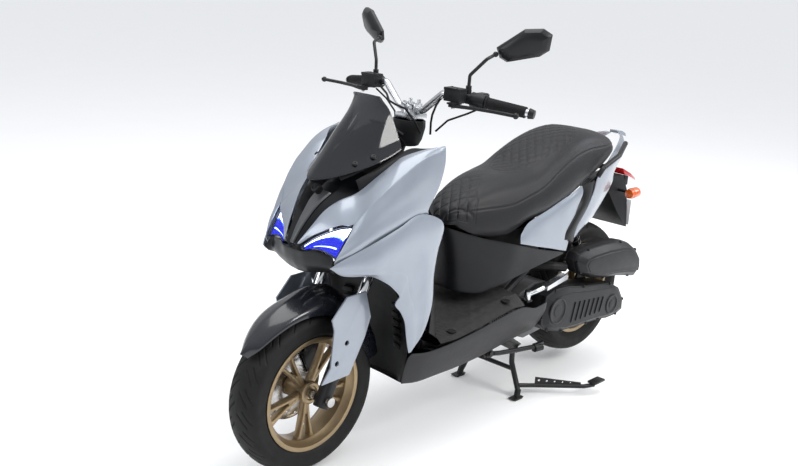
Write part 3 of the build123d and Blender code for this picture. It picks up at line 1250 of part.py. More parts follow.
def centre_stand():
    s = ring((CSX, -99.6, CSZ), (CSX, 99.6, CSZ), 13, 7 + CLR)
    for k in (1, -1):
        s = s + tube([(CSX, 84 * k, CSZ), (CSX + 2, 88 * k, CSZ - 62), (CSX + 6, 130 * k, 20)], 9.5, 30)
        s = s + loft_poly([[(CSX + 40, 118 * k, 0), (CSX + 40, 146 * k, 0), (CSX + 46, 146 * k, 7), (CSX + 46, 118 * k, 7)],
                           [(CSX + 1, 118 * k, 0), (CSX + 1, 146 * k, 0), (CSX - 6, 146 * k, 7), (CSX - 6, 118 * k, 7)]])
        s = s + rod((CSX + 14, 131 * k, 4.0), (CSX + 6, 128.5 * k, 32), 11)
    s = s + rod((CSX + 3, -98, CSZ - 84), (CSX + 3, 98, CSZ - 84), 8)
    s = s - rod((CSX, -120, CSZ), (CSX, 120, CSZ), 7 + CLR)
    # foot lever on the left, flat gusset with holes
    s = s + tube([(CSX + 4, 126, 44), (CSX - 60, 150, 34), (-440, 268, 34), (-476, 286, 36)], 7.5, 20)
    ux, uy = -132 / 177.1, 118 / 177.1

    def gp(t, z, o=0.0):
        return (-308 - 132 * t - uy * o, 150 + 118 * t + ux * o, z)

    gs = Face(Wire.make_polygon([Vector(*gp(0, 34, 2)), Vector(*gp(0, 66, 2)), Vector(*gp(0.93, 48, 2)), Vector(*gp(0.93, 34, 2))], close=True))
    plate = extrude(gs, amount=4, dir=(uy, -ux, 0))
    for i in range(5):
        q = 0.08 + 0.16 * i
        plate = plate - rod(gp(q, 53.5 - 1.7 * i, 6), gp(q, 53.5 - 1.7 * i, -6), 4.5 - 0.52 * i)
    s = s + plate
    return s


put("centre_stand", centre_stand())
both("stand_pin", lambda k: rod((CSX, 78 * k, CSZ), (CSX, 112 * k, CSZ), 7) + rod((CSX, 108.3 * k, CSZ), (CSX, 114 * k, CSZ), 11))
put("stand_pad", loft_poly([[(-455, 262, 45), (-474, 298, 47), (-474, 298, 53), (-455, 262, 51)], [(-515, 276, 45), (-522, 306, 47), (-522, 306, 53), (-515, 276, 51)]])
    + rod((-478, 285, 43.8), (-488, 287, 50), 6) if False else box(-520, -458, 270, 302, 43.8, 51))

SSX, SSY, SSZ = -56.0, 132.0, 214.0


def side_stand():
    s = rod((SSX, SSY - 4, SSZ), (SSX, SSY + 4, SSZ), 15)
    s = s + tube([(SSX - 13, SSY + 4, SSZ - 2), (-100, SSY + 6, 206), (-200, SSY + 20, 198), (-286, SSY + 30, 192)], 8, 24)
    s = s + rod((-270, SSY + 28, 188), (-300, SSY + 40, 188), 15, 11) + box(-312, -262, SSY + 24, SSY + 36, 178, 204)
    return s - rod((SSX, SSY - 20, SSZ), (SSX, SSY + 20, SSZ), 6 + CLR)


put("side_stand", side_stand())
put("side_stand_bracket", slab([(-30, 260), (-80, 262), (-78, 204), (-36, 200)], SSY - 10.5, SSY - 4.6) + rod((SSX, SSY - 10, SSZ), (SSX, SSY + 9, SSZ), 6)
    + rod((SSX, SSY + 4.4, SSZ), (SSX, SSY + 10, SSZ), 10) + box(-70, -40, 118, SSY - 8, 248, 262))


# passenger pegs, folded back
PGX, PGY = -184.0, 172.0


def peg_bracket(k):
    y0, y1 = sorted((106 * k, (PGY + 12) * k))
    return box(PGX - 13, PGX + 13, y0, y1, 380, 386) + rod((PGX, PGY * k, 381), (PGX, PGY * k, 418), 5.0) + rod((PGX, PGY * k, 416.3), (PGX, PGY * k, 420), 9)


def peg(k):
    s = rod((PGX, PGY * k, 386.3), (PGX, PGY * k, 416), 11)
    s = s + tube([(PGX - 4, PGY * k, 404), (-224, (PGY + 6) * k, 410), (-262, 188 * k, 420)], 8, 10)
    s = s + loft_poly([[(-250, 176 * k, 412), (-250, 204 * k, 412), (-250, 204 * k, 426), (-250, 176 * k, 426)], [(-352, 182 * k, 436), (-352, 214 * k, 436), (-352, 210 * k, 452), (-352, 186 * k, 452)]])
    return s - rod((PGX, PGY * k, 370), (PGX, PGY * k, 430), 5 + CLR)


both("peg_bracket", peg_bracket)
both("passenger_peg", peg)
for k in ("l", "r"):
    nodes["frame"] = nodes["frame"] + nodes.pop("peg_bracket_" + k)

# key in its lock on the right of the leg shield
put("ignition_lock", ring((200, -74, 800), (229.5, -74, 800), 15, 4.2))
put("ignition_key", rod((196, -74, 800), (226, -74, 800), 4.0) + box(176, 197, -77, -71, 789, 811))

put("front_camera", rod((612, 0, 832), (630, 0, 846), 13) + rod((630, 0, 846), (634, 0, 849), 9))


def screen_screws():
    out = []
    for k in (1, -1):
        for p, q in (((502, 97, 931), (0.42, 0.55, 0.72)), ((553, 77.5, 914), (0.5, 0.46, 0.73))):
            n = vunit(q)
            p, n = (p[0], p[1] * k, p[2]), (n[0], n[1] * k, n[2])
            out.append(rod(vadd(p, vmul(n, 3.5)), vadd(p, vmul(n, 6.5)), 6.5, 5.0))
    return out


SCREWS = screen_screws()


# ---------------------------------------------------------------- nodes as handed in
def take(*names):
    out = []
    for n in names:
        out += list(nodes.pop(n).solids())
    return out


def group(name, solids):
    nodes[name] = solids[0] if len(solids) == 1 else Compound(children=list(solids))


def pair(*names):
    return take(*[n + e for n in names for e in ("_l", "_r")])


for k in ("l", "r"):
    nodes["lamp_housing_" + k] = nodes["lamp_housing_" + k] + nodes.pop("lamp_projectors_" + k)
group("fork_lowers", pair("fork_lower") + take("front_axle", "axle_spacers"))
group("front_caliper", take("front_caliper", "caliper_bracket"))
group("fork_covers", pair("fork_cover"))
group("fork_uppers", pair("stanchion") + take("lower_yoke", "steering_stem"))
group("handlebar", take("handlebar", "riser_block", "bar_clamps") + pair("bar_end"))
group("grip_left", take("grip_l"))
group("throttle_grip", take("grip_r"))
group("switch_housings", pair("switch_housing") + take("turn_switch", "horn_button", "beam_button", "kill_switch"))
group("master_cylinders", pair("master_cylinder", "reservoir_cap", "lever_pin", "mirror_boss"))
group("lever_left", take("brake_lever_l"))
group("lever_right", take("brake_lever_r"))
group("control_hoses", take("brake_hose", "rear_brake_hose", "throttle_cable", "switch_cable"))
group("mirror_stems", pair("mirror_stem"))
group("mirror_left", take("mirror_head_l", "mirror_glass_l"))
group("mirror_right", take("mirror_head_r", "mirror_glass_r"))
group("frame", take("frame", "engine_bolt", "side_stand_bracket") + pair("shock_pin_top", "stand_pin"))
group("upper_cowls", pair("upper_cowl"))
group("side_wings", pair("side_wing"))
group("nose_panel", take("nose_panel", "nose_strip", "chin", "front_camera"))
group("lamp_covers", pair("lamp_cover"))
group("lamp_units", pair("lamp_housing", "lamp_blade"))
group("dash_panels", take("dash_hood", "instrument") + pair("cowl_trim", "screen_bracket") + SCREWS)
group("leg_shield", take("leg_shield", "ignition_lock"))
group("inner_liners", take("front_liner", "belly_pan") + pair("wing_duct"))
group("lower_skirts", pair("lower_skirt"))
group("side_panels", pair("side_panel"))
group("boomerang_trims", pair("boomerang_trim"))
group("tail_panels", pair("tail_panel") + take("tail_cap"))
group("storage_bucket", take("storage_bucket", "seat_hinge"))
group("grab_rails", pair("grab_rail"))
group("plate_carrier", take("plate_carrier", "number_plate") + pair("signal_stalk"))
group("turn_signals", pair("turn_signal"))
group("engine_case", take("crankcase", "cylinder", "gearcase", "swing_arm_right", "cvt_case", "rear_axle", "rear_spacers", "rear_caliper") + pair("shock_pin_low"))
group("airbox", take("airbox", "airbox_cover", "intake_duct"))
group("exhaust", take("exhaust_pipe", "muffler", "muffler_shield"))
group("rear_rim", take("rear_rim", "rear_disc"))
group("shock_uppers", pair("shock_upper"))
group("shock_lowers", pair("shock_lower"))
group("shock_springs", pair("shock_spring"))
group("centre_stand", take("centre_stand", "stand_pad"))


if __name__ == "__main__":
    for f in os.listdir("parts"):
        if f.endswith(".step"):
            os.remove("parts/" + f)
    for name, sh in nodes.items():
        export_step(Pos(SX, 0, 0) * sh, "parts/" + name + ".step")
    bb = [1e9, 1e9, 1e9, -1e9, -1e9, -1e9]
    for name, sh in nodes.items():
        b = sh.bounding_box()
        lo, hi = b.min, b.max
        for i, (l, h) in enumerate(((lo.X, hi.X), (lo.Y, hi.Y), (lo.Z, hi.Z))):
            bb[i] = min(bb[i], l)
            bb[i + 3] = max(bb[i + 3], h)
    print("nodes", len(nodes), "bbox", [round(v, 1) for v in bb], "shift", round(-(bb[0] + bb[3]) / 2, 1))
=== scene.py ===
# Looks of a moped scooter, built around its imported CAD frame.
import bpy
import bmesh
import json
import math
import numpy as np
from mathutils import Vector, Matrix, noise

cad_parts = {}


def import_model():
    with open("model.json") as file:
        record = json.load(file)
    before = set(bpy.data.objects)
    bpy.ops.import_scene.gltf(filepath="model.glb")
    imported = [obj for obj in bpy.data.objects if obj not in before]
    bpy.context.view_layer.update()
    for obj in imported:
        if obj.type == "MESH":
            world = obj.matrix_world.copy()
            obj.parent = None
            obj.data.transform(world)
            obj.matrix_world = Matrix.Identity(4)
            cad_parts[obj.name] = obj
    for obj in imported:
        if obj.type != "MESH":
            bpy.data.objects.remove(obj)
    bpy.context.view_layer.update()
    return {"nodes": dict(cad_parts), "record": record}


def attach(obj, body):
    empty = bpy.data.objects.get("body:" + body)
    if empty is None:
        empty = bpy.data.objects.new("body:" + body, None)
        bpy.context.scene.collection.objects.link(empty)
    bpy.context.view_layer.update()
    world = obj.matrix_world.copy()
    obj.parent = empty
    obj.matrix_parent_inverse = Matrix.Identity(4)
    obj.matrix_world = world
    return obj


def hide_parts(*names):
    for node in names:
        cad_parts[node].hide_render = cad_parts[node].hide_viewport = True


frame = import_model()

NODES = frame["nodes"]
NODE_BODY = {n: b for b, ns in frame["record"]["behaviour"]["bodies"].items() for n in ns}
SX = 73.5
AXF, AXR, ZF, ZR = 650.0, -684.0, 243.0, 292.0
R_FT, W_FT, R_RT, W_RT, R_RIM = 243.0, 59.0, 249.0, 66.0, 174.0


def P(p):
    return ((p[0] + SX) * 0.001, p[1] * 0.001, p[2] * 0.001)


# ------------------------------------------------------------------ small vector kit
def vadd(a, b):
    return (a[0] + b[0], a[1] + b[1], a[2] + b[2])


def vsub(a, b):
    return (a[0] - b[0], a[1] - b[1], a[2] - b[2])


def vmul(a, k):
    return (a[0] * k, a[1] * k, a[2] * k)


def vcross(a, b):
    return (a[1] * b[2] - a[2] * b[1], a[2] * b[0] - a[0] * b[2], a[0] * b[1] - a[1] * b[0])


def vdot(a, b):
    return a[0] * b[0] + a[1] * b[1] + a[2] * b[2]


def vlen(a):
    return math.sqrt(vdot(a, a))


def vunit(a):
    n = vlen(a)
    return vmul(a, 1.0 / n) if n > 1e-9 else (0.0, 0.0, 0.0)


def lerp(a, b, t):
    return vadd(vmul(a, 1 - t), vmul(b, t))


def mir(p):
    return (p[0], -p[1], p[2])


def smooth01(t):
    t = max(0.0, min(1.0, t))
    return t * t * (3 - 2 * t)


def cr(p0, p1, p2, p3, t):
    out = []
    for a, b, c, d in zip(p0, p1, p2, p3):
        out.append(0.5 * ((2 * b) + (-a + c) * t + (2 * a - 5 * b + 4 * c - d) * t * t
                          + (-a + 3 * b - 3 * c + d) * t * t * t))
    return tuple(out)


def refine_row(row, n):
    out = []
    m = len(row)
    for i in range(m - 1):
        p0 = row[i - 1] if i > 0 else tuple(2 * a - b for a, b in zip(row[0], row[1]))
        p3 = row[i + 2] if i + 2 < m else tuple(2 * a - b for a, b in zip(row[-1], row[-2]))
        for k in range(n):
            out.append(cr(p0, row[i], row[i + 1], p3, k / n))
    out.append(tuple(row[-1]))
    return out


def refine(grid, nu=1, nv=1):
    g = [refine_row(r, nu) for r in grid]
    if nv > 1:
        cols = [[g[i][j] for i in range(len(g))] for j in range(len(g[0]))]
        cols = [refine_row(c, nv) for c in cols]
        g = [[cols[j][i] for j in range(len(cols))] for i in range(len(cols[0]))]
    return g


def grid_normals(g):
    R, C = len(g), len(g[0])
    N = [[(0.0, 0.0, 0.0)] * C for _ in range(R)]
    for i in range(R - 1):
        for j in range(C - 1):
            a, b, c, d = g[i][j], g[i][j + 1], g[i + 1][j + 1], g[i + 1][j]
            n = vunit(vcross(vsub(c, a), vsub(d, b)))
            for (p, q) in ((i, j), (i, j + 1), (i + 1, j + 1), (i + 1, j)):
                N[p][q] = vadd(N[p][q], n)
    return [[vunit(n) for n in row] for row in N]


# ------------------------------------------------------------------ materials
MATS = {}


def nd(nt, kind, **vals):
    n = nt.nodes.new(kind)
    for k, v in vals.items():
        setattr(n, k, v)
    return n


def mat(name, base, rough=0.5, metal=0.0, coat=0.0, coat_rough=0.05, var=0.06, vscale=9.0, rvar=0.06, rscale=35.0,
        bump=0.0, bscale=900.0, bump2=0.0, b2scale=60.0, sheen=0.0, alpha=1.0, transmission=0.0, ior=1.5, emit=None,
        emit_strength=0.0, spec=0.5, dust=0.0, cell=False, tint=None):
    """procedural finish: colour variation, roughness variation, two scales of relief and a little settled dust"""
    m = bpy.data.materials.new(name)
    m.use_nodes = True
    nt = m.node_tree
    b = nt.nodes["Principled BSDF"]
    b.inputs["Metallic"].default_value = metal
    b.inputs["Coat Weight"].default_value = coat
    b.inputs["Coat Roughness"].default_value = coat_rough
    b.inputs["IOR"].default_value = ior
    b.inputs["Specular IOR Level"].default_value = spec
    b.inputs["Alpha"].default_value = alpha
    b.inputs["Transmission Weight"].default_value = transmission
    b.inputs["Sheen Weight"].default_value = sheen
    tc = nd(nt, "ShaderNodeTexCoord")
    n1 = nd(nt, "ShaderNodeTexNoise")
    n1.inputs["Scale"].default_value = vscale
    n1.inputs["Detail"].default_value = 4.0
    nt.links.new(tc.outputs["Object"], n1.inputs["Vector"])
    ramp = nd(nt, "ShaderNodeValToRGB")
    ramp.color_ramp.elements[0].position = 0.32
    ramp.color_ramp.elements[1].position = 0.68
    t2 = tint or base
    ramp.color_ramp.elements[0].color = tuple(c * (1 - var) for c in base) + (1,)
    ramp.color_ramp.elements[1].color = tuple(min(1.0, c * (1 + var)) for c in t2) + (1,)
    nt.links.new(n1.outputs["Fac"], ramp.inputs["Fac"])
    col = ramp.outputs["Color"]
    if dust > 0:
        geo = nd(nt, "ShaderNodeNewGeometry")
        sep = nd(nt, "ShaderNodeSeparateXYZ")
        nt.links.new(geo.outputs["Normal"], sep.inputs["Vector"])
        nz = nd(nt, "ShaderNodeTexNoise")
        nz.inputs["Scale"].default_value = 55.0
        nz.inputs["Detail"].default_value = 6.0
        nt.links.new(tc.outputs["Object"], nz.inputs["Vector"])
        mr = nd(nt, "ShaderNodeMapRange")
        mr.inputs["From Min"].default_value = 0.45
        mr.inputs["From Max"].default_value = 1.0
        mr.inputs["To Max"].default_value = dust
        nt.links.new(sep.outputs["Z"], mr.inputs["Value"])
        mm = nd(nt, "ShaderNodeMath", operation="MULTIPLY")
        nt.links.new(mr.outputs["Result"], mm.inputs[0])
        nt.links.new(nz.outputs["Fac"], mm.inputs[1])
        mix = nd(nt, "ShaderNodeMix", data_type="RGBA")
        mix.inputs["B"].default_value = (0.30, 0.28, 0.26, 1)
        nt.links.new(mm.outputs["Value"], mix.inputs["Factor"])
        nt.links.new(col, mix.inputs["A"])
        col = mix.outputs["Result"]
    nt.links.new(col, b.inputs["Base Color"])
    n2 = nd(nt, "ShaderNodeTexNoise")
    n2.inputs["Scale"].default_value = rscale
    n2.inputs["Detail"].default_value = 5.0
    nt.links.new(tc.outputs["Object"], n2.inputs["Vector"])
    mr2 = nd(nt, "ShaderNodeMapRange")
    mr2.inputs["To Min"].default_value = max(0.02, rough - rvar)
    mr2.inputs["To Max"].default_value = min(1.0, rough + rvar)
    nt.links.new(n2.outputs["Fac"], mr2.inputs["Value"])
    nt.links.new(mr2.outputs["Result"], b.inputs["Roughness"])
    last = None
    if bump2 > 0:
        n4 = nd(nt, "ShaderNodeTexNoise")
        n4.inputs["Scale"].default_value = b2scale
        n4.inputs["Detail"].default_value = 3.0
        nt.links.new(tc.outputs["Object"], n4.inputs["Vector"])
        bp2 = nd(nt, "ShaderNodeBump")
        bp2.inputs["Strength"].default_value = min(1.0, bump2)
        bp2.inputs["Distance"].default_value = 0.0006
        nt.links.new(n4.outputs["Fac"], bp2.inputs["Height"])
        last = bp2
    if bump > 0:
        if cell:
            n3 = nd(nt, "ShaderNodeTexVoronoi")
            n3.inputs["Scale"].default_value = bscale
            src = n3.outputs["Distance"]
        else:
            n3 = nd(nt, "ShaderNodeTexNoise")
            n3.inputs["Scale"].default_value = bscale
            n3.inputs["Detail"].default_value = 2.0
            src = n3.outputs["Fac"]
        nt.links.new(tc.outputs["Object"], n3.inputs["Vector"])
        bp = nd(nt, "ShaderNodeBump")
        bp.inputs["Strength"].default_value = min(1.0, bump)
        bp.inputs["Distance"].default_value = 0.0003
        nt.links.new(src, bp.inputs["Height"])
        if last is not None:
            nt.links.new(last.outputs["Normal"], bp.inputs["Normal"])
        last = bp
    if last is not None:
        nt.links.new(last.outputs["Normal"], b.inputs["Normal"])
    if emit is not None:
        b.inputs["Emission Color"].default_value = tuple(emit) + (1,)
        b.inputs["Emission Strength"].default_value = emit_strength
    MATS[name] = m
    return m


mat("paint_grey", (0.235, 0.265, 0.315), rough=0.34, metal=0.35, coat=0.9, coat_rough=0.10, var=0.05, vscale=5, rvar=0.05, bump=0.05, bscale=1500, bump2=0.03, b2scale=45, tint=(0.245, 0.275, 0.325), dust=0.05)
mat("paint_dark", (0.006, 0.007, 0.011), rough=0.26, spec=0.35, coat=0.55, coat_rough=0.08, var=0.2, vscale=12, rvar=0.06, bump=0.04, bscale=1400, bump2=0.04, b2scale=50, dust=0.01)
mat("panel_black", (0.005, 0.0055, 0.007), rough=0.36, spec=0.22, coat=0.2, coat_rough=0.22, var=0.2, vscale=14, rvar=0.05, bump=0.05, bscale=1300, dust=0.01)
mat("plastic_black", (0.007, 0.0072, 0.0082), rough=0.50, spec=0.22, var=0.18, vscale=20, rvar=0.08, bump=0.35, bscale=1700, bump2=0.08, b2scale=90, dust=0.03, cell=True)
mat("plastic_satin", (0.007, 0.0074, 0.0088), rough=0.40, spec=0.26, var=0.15, vscale=18, rvar=0.07, bump=0.18, bscale=1500, dust=0.02)
mat("plastic_grey", (0.055, 0.058, 0.064), rough=0.40, var=0.12, vscale=16, rvar=0.08, bump=0.25, bscale=1500, dust=0.10)
mat("floor_mat", (0.011, 0.0112, 0.0122), rough=0.58, spec=0.25, var=0.2, vscale=16, rvar=0.10, bump=0.6, bscale=900, dust=0.10, cell=True)
mat("rubber", (0.006, 0.006, 0.0068), rough=0.62, spec=0.2, var=0.2, vscale=25, rvar=0.10, bump=0.35, bscale=1300, dust=0.02)
mat("tyre", (0.007, 0.0069, 0.0070), rough=0.62, spec=0.22, var=0.25, vscale=22, rvar=0.10, bump=0.40, bscale=1100, bump2=0.25, b2scale=160, dust=0.06)
mat("bronze", (0.29, 0.215, 0.125), rough=0.40, metal=0.85, coat=0.25, coat_rough=0.25, var=0.07, vscale=18, rvar=0.08, bump=0.30, bscale=1500)
mat("steel", (0.46, 0.455, 0.45), rough=0.26, metal=1.0, var=0.10, vscale=30, rvar=0.10, bump=0.20, bscale=700)
mat("chrome", (0.72, 0.73, 0.75), rough=0.09, metal=1.0, var=0.05, vscale=12, rvar=0.04)
mat("silver", (0.58, 0.59, 0.61), rough=0.24, metal=1.0, var=0.06, vscale=18, rvar=0.07, bump=0.10, bscale=1200)
mat("alloy_cast", (0.16, 0.16, 0.165), rough=0.48, metal=0.8, var=0.15, vscale=30, rvar=0.1, bump=0.6, bscale=800, bump2=0.3, b2scale=120)
mat("steel_black", (0.007, 0.007, 0.008), rough=0.38, spec=0.3, var=0.2, vscale=22, rvar=0.10, bump=0.22, bscale=1000, dust=0.03)
mat("seat_vinyl", (0.007, 0.0073, 0.0092), rough=0.44, spec=0.30, var=0.14, vscale=10, rvar=0.07, bump=0.55, bscale=1100, bump2=0.10, b2scale=70, sheen=0.02, dust=0.02, cell=True)
mat("seat_thread", (0.05, 0.05, 0.055), rough=0.7, var=0.2, vscale=200, bump=0.5, bscale=2500)
mat("red_lens", (0.34, 0.008, 0.010), rough=0.12, coat=0.8, var=0.12, vscale=60, rvar=0.03, emit=(0.9, 0.02, 0.02), emit_strength=0.10, bump=0.2, bscale=260, cell=True)
mat("amber_lens", (0.50, 0.085, 0.010), rough=0.14, coat=0.8, var=0.12, vscale=60, rvar=0.03, emit=(0.9, 0.2, 0.02), emit_strength=0.05, bump=0.3, bscale=260, cell=True)
mat("mirror_glass", (0.75, 0.78, 0.80), rough=0.03, metal=1.0, var=0.03, rvar=0.01)
mat("screen_lcd", (0.012, 0.014, 0.018), rough=0.08, coat=1.0, var=0.3, vscale=30, rvar=0.03)
mat("smoke_screen", (0.008, 0.009, 0.012), rough=0.06, coat=0.35, coat_rough=0.04, var=0.10, vscale=7, rvar=0.02, alpha=0.86, spec=0.35)
mat("spring_black", (0.018, 0.018, 0.02), rough=0.3, coat=0.5, var=0.2, vscale=30, rvar=0.08, bump=0.1, bscale=800)
mat("plate_white", (0.60, 0.61, 0.62), rough=0.35, var=0.04, vscale=12, rvar=0.06, bump=0.05, bscale=500)
mat("lamp_white", (0.7, 0.8, 1.0), rough=0.15, var=0.04, vscale=60, rvar=0.02, emit=(0.72, 0.80, 1.0), emit_strength=7.0)
mat("lamp_edge", (0.1, 0.2, 1.0), rough=0.15, var=0.06, vscale=60, rvar=0.02, emit=(0.04, 0.14, 1.0), emit_strength=4.0)
mat("lamp_blue", (0.001, 0.002, 0.03), rough=0.35, spec=0.08, coat=0.0, var=0.35, vscale=26, rvar=0.04, emit=(0.002, 0.006, 1.0), emit_strength=0.78)
mat("lamp_line", (0.4, 0.6, 1.0), rough=0.15, var=0.05, vscale=60, rvar=0.02, emit=(0.35, 0.52, 1.0), emit_strength=4.0)
mat("lamp_bezel", (0.003, 0.004, 0.012), rough=0.25, spec=0.2, coat=0.2, var=0.2, vscale=30, rvar=0.05)
mat("glass_clear", (0.5, 0.6, 1.0), rough=0.03, coat=0.0, var=0.03, rvar=0.01, alpha=0.03, spec=0.2)


# ------------------------------------------------------------------ mesh kit
def finish_mesh(o, deg=34.0):
    """applies the modifiers and sets smooth shading with sharp edges over deg"""
    if o.modifiers:
        dg = bpy.context.evaluated_depsgraph_get()
        me = bpy.data.meshes.new_from_object(o.evaluated_get(dg), depsgraph=dg)
        o.modifiers.clear()
        o.data = me
    me = o.data
    me.polygons.foreach_set("use_smooth", [True] * len(me.polygons))
    me.set_sharp_from_angle(angle=math.radians(deg))
    me.update()
    return o


def obj(name, verts, faces, body, mats, slot=None, stands=(), index=None, deg=34.0, bevel=0.0, bevel_deg=38.0, seg=2,
        weld=0.0, orient=True, sub=0):
    """verts in design millimetres"""
    bm = bmesh.new()
    vs = [bm.verts.new(P(v)) for v in verts]
    for k, f in enumerate(faces):
        if len(set(f)) < 3:
            continue
        try:
            face = bm.faces.new([vs[i] for i in f])
        except ValueError:
            continue
        if index is not None:
            face.material_index = index[k]
    if weld > 0:
        bmesh.ops.remove_doubles(bm, verts=bm.verts, dist=weld * 0.001)
    bmesh.ops.dissolve_degenerate(bm, edges=bm.edges, dist=1e-6)
    if orient:
        bmesh.ops.recalc_face_normals(bm, faces=bm.faces)
    me = bpy.data.meshes.new(name)
    bm.to_mesh(me)
    bm.free()
    o = bpy.data.objects.new(name, me)
    bpy.context.scene.collection.objects.link(o)
    for m in ([mats] if isinstance(mats, str) else mats):
        me.materials.append(MATS[m])
    if bevel > 0:
        b = o.modifiers.new("edge", "BEVEL")
        b.width = bevel * 0.001
        b.segments = seg
        b.limit_method = "ANGLE"
        b.angle_limit = math.radians(bevel_deg)
    if sub:
        s = o.modifiers.new("sub", "SUBSURF")
        s.levels = s.render_levels = sub
    finish_mesh(o, deg)
    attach(o, body)
    if stands:
        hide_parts(*stands)
    return o


class Build:
    """collects vertices and faces of one piece"""

    def __init__(self):
        self.v, self.f, self.m = [], [], []

    def add(self, verts, faces, mi=0):
        n = len(self.v)
        self.v += verts
        self.f += [tuple(i + n for i in f) for f in faces]
        self.m += ([mi] * len(faces)) if isinstance(mi, int) else list(mi)

    def mirror(self):
        n = len(self.v)
        k = len(self.f)
        self.v += [mir(p) for p in self.v[:n]]
        self.f += [tuple(i + n for i in reversed(f)) for f in self.f[:k]]
        self.m += self.m[:k]
        return self

    def make(self, name, body, mats, **kw):
        return obj(name, self.v, self.f, body, mats, index=self.m, **kw)


def skin_parts(grid, inside, th=3.0):
    """a skin of real thickness from a grid of points; returns verts, faces"""
    R, C = len(grid), len(grid[0])
    N = grid_normals(grid)
    s = 0.0
    for i in range(R):
        for j in range(C):
            s += vdot(N[i][j], vunit(vsub(inside, grid[i][j])))
    sg = 1.0 if s > 0 else -1.0
    outer = [p for row in grid for p in row]
    inner = [vadd(grid[i][j], vmul(N[i][j], sg * th)) for i in range(R) for j in range(C)]
    verts = outer + inner
    n = R * C
    faces = []
    for i in range(R - 1):
        for j in range(C - 1):
            a, b, c, d = i * C + j, i * C + j + 1, (i + 1) * C + j + 1, (i + 1) * C + j
            faces.append((a, b, c, d))
            faces.append((n + a, n + d, n + c, n + b))
    for j in range(C - 1):
        faces.append((j + 1, j, n + j, n + j + 1))
        b0 = (R - 1) * C + j
        faces.append((b0, b0 + 1, n + b0 + 1, n + b0))
    for i in range(R - 1):
        a0 = i * C
        faces.append((a0, a0 + C, n + a0 + C, n + a0))
        c0 = i * C + C - 1
        faces.append((c0 + C, c0, n + c0, n + c0 + C))
    return verts, faces


def tube_parts(pts, r, n=14, r_end=None):
    """a round tube along points (design mm)"""
    verts, faces = [], []
    up = (0.0, 0.0, 1.0)
    m = len(pts)
    prev = None
    for k, p in enumerate(pts):
        a = pts[max(0, k - 1)]
        b = pts[min(m - 1, k + 1)]
        t = vunit(vsub(b, a))
        if prev is None:
            u = vunit(vcross(t, up)) if abs(t[2]) < 0.95 else (1.0, 0.0, 0.0)
        else:
            u = vunit(vsub(prev, vmul(t, vdot(prev, t))))
        prev = u
        w = vcross(t, u)
        rr = r if r_end is None else r + (r_end - r) * k / (m - 1)
        for i in range(n):
            an = 2 * math.pi * i / n
            verts.append(vadd(p, vadd(vmul(u, rr * math.cos(an)), vmul(w, rr * math.sin(an)))))
    for k in range(m - 1):
        for i in range(n):
            a, b = k * n + i, k * n + (i + 1) % n
            faces.append((a, b, b + n, a + n))
    faces.append(tuple(reversed(range(n))))
    faces.append(tuple(range((m - 1) * n, m * n)))
    return verts, faces


def lathe_parts(prof, p, axis, n=24):
    """closed turned piece: prof is (radius, distance along the axis)"""
    t = vunit(axis)
    u = vunit(vcross(t, (0.0, 0.0, 1.0))) if abs(t[2]) < 0.9 else vunit(vcross(t, (1.0, 0.0, 0.0)))
    w = vcross(t, u)
    verts, faces = [], []
    for r, h in prof:
        for i in range(n):
            an = 2 * math.pi * i / n
            verts.append(vadd(p, vadd(vmul(t, h), vadd(vmul(u, r * math.cos(an)), vmul(w, r * math.sin(an))))))
    m = len(prof)
    for k in range(m - 1):
        for i in range(n):
            a, b = k * n + i, k * n + (i + 1) % n
            faces.append((a, b, b + n, a + n))
    faces.append(tuple(reversed(range(n))))
    faces.append(tuple(range((m - 1) * n, m * n)))
    return verts, faces


def bolt_parts(p, axis, r=5.0, h=3.0):
    """socket head screw with a washer"""
    return lathe_parts([(r * 1.45, 0), (r * 1.45, h * 0.28), (r, h * 0.30), (r, h * 0.85), (r * 0.86, h), (r * 0.48, h), (r * 0.42, h * 0.45), (0.2, h * 0.42)], p, axis, 18)


def loft_parts(rings):
    n = len(rings[0])
    verts = [p for r in rings for p in r]
    faces = []
    for k in range(len(rings) - 1):
        for i in range(n):
            a, b = k * n + i, k * n + (i + 1) % n
            faces.append((a, b, b + n, a + n))
    faces.append(tuple(reversed(range(n))))
    faces.append(tuple(range((len(rings) - 1) * n, len(rings) * n)))
    return verts, faces


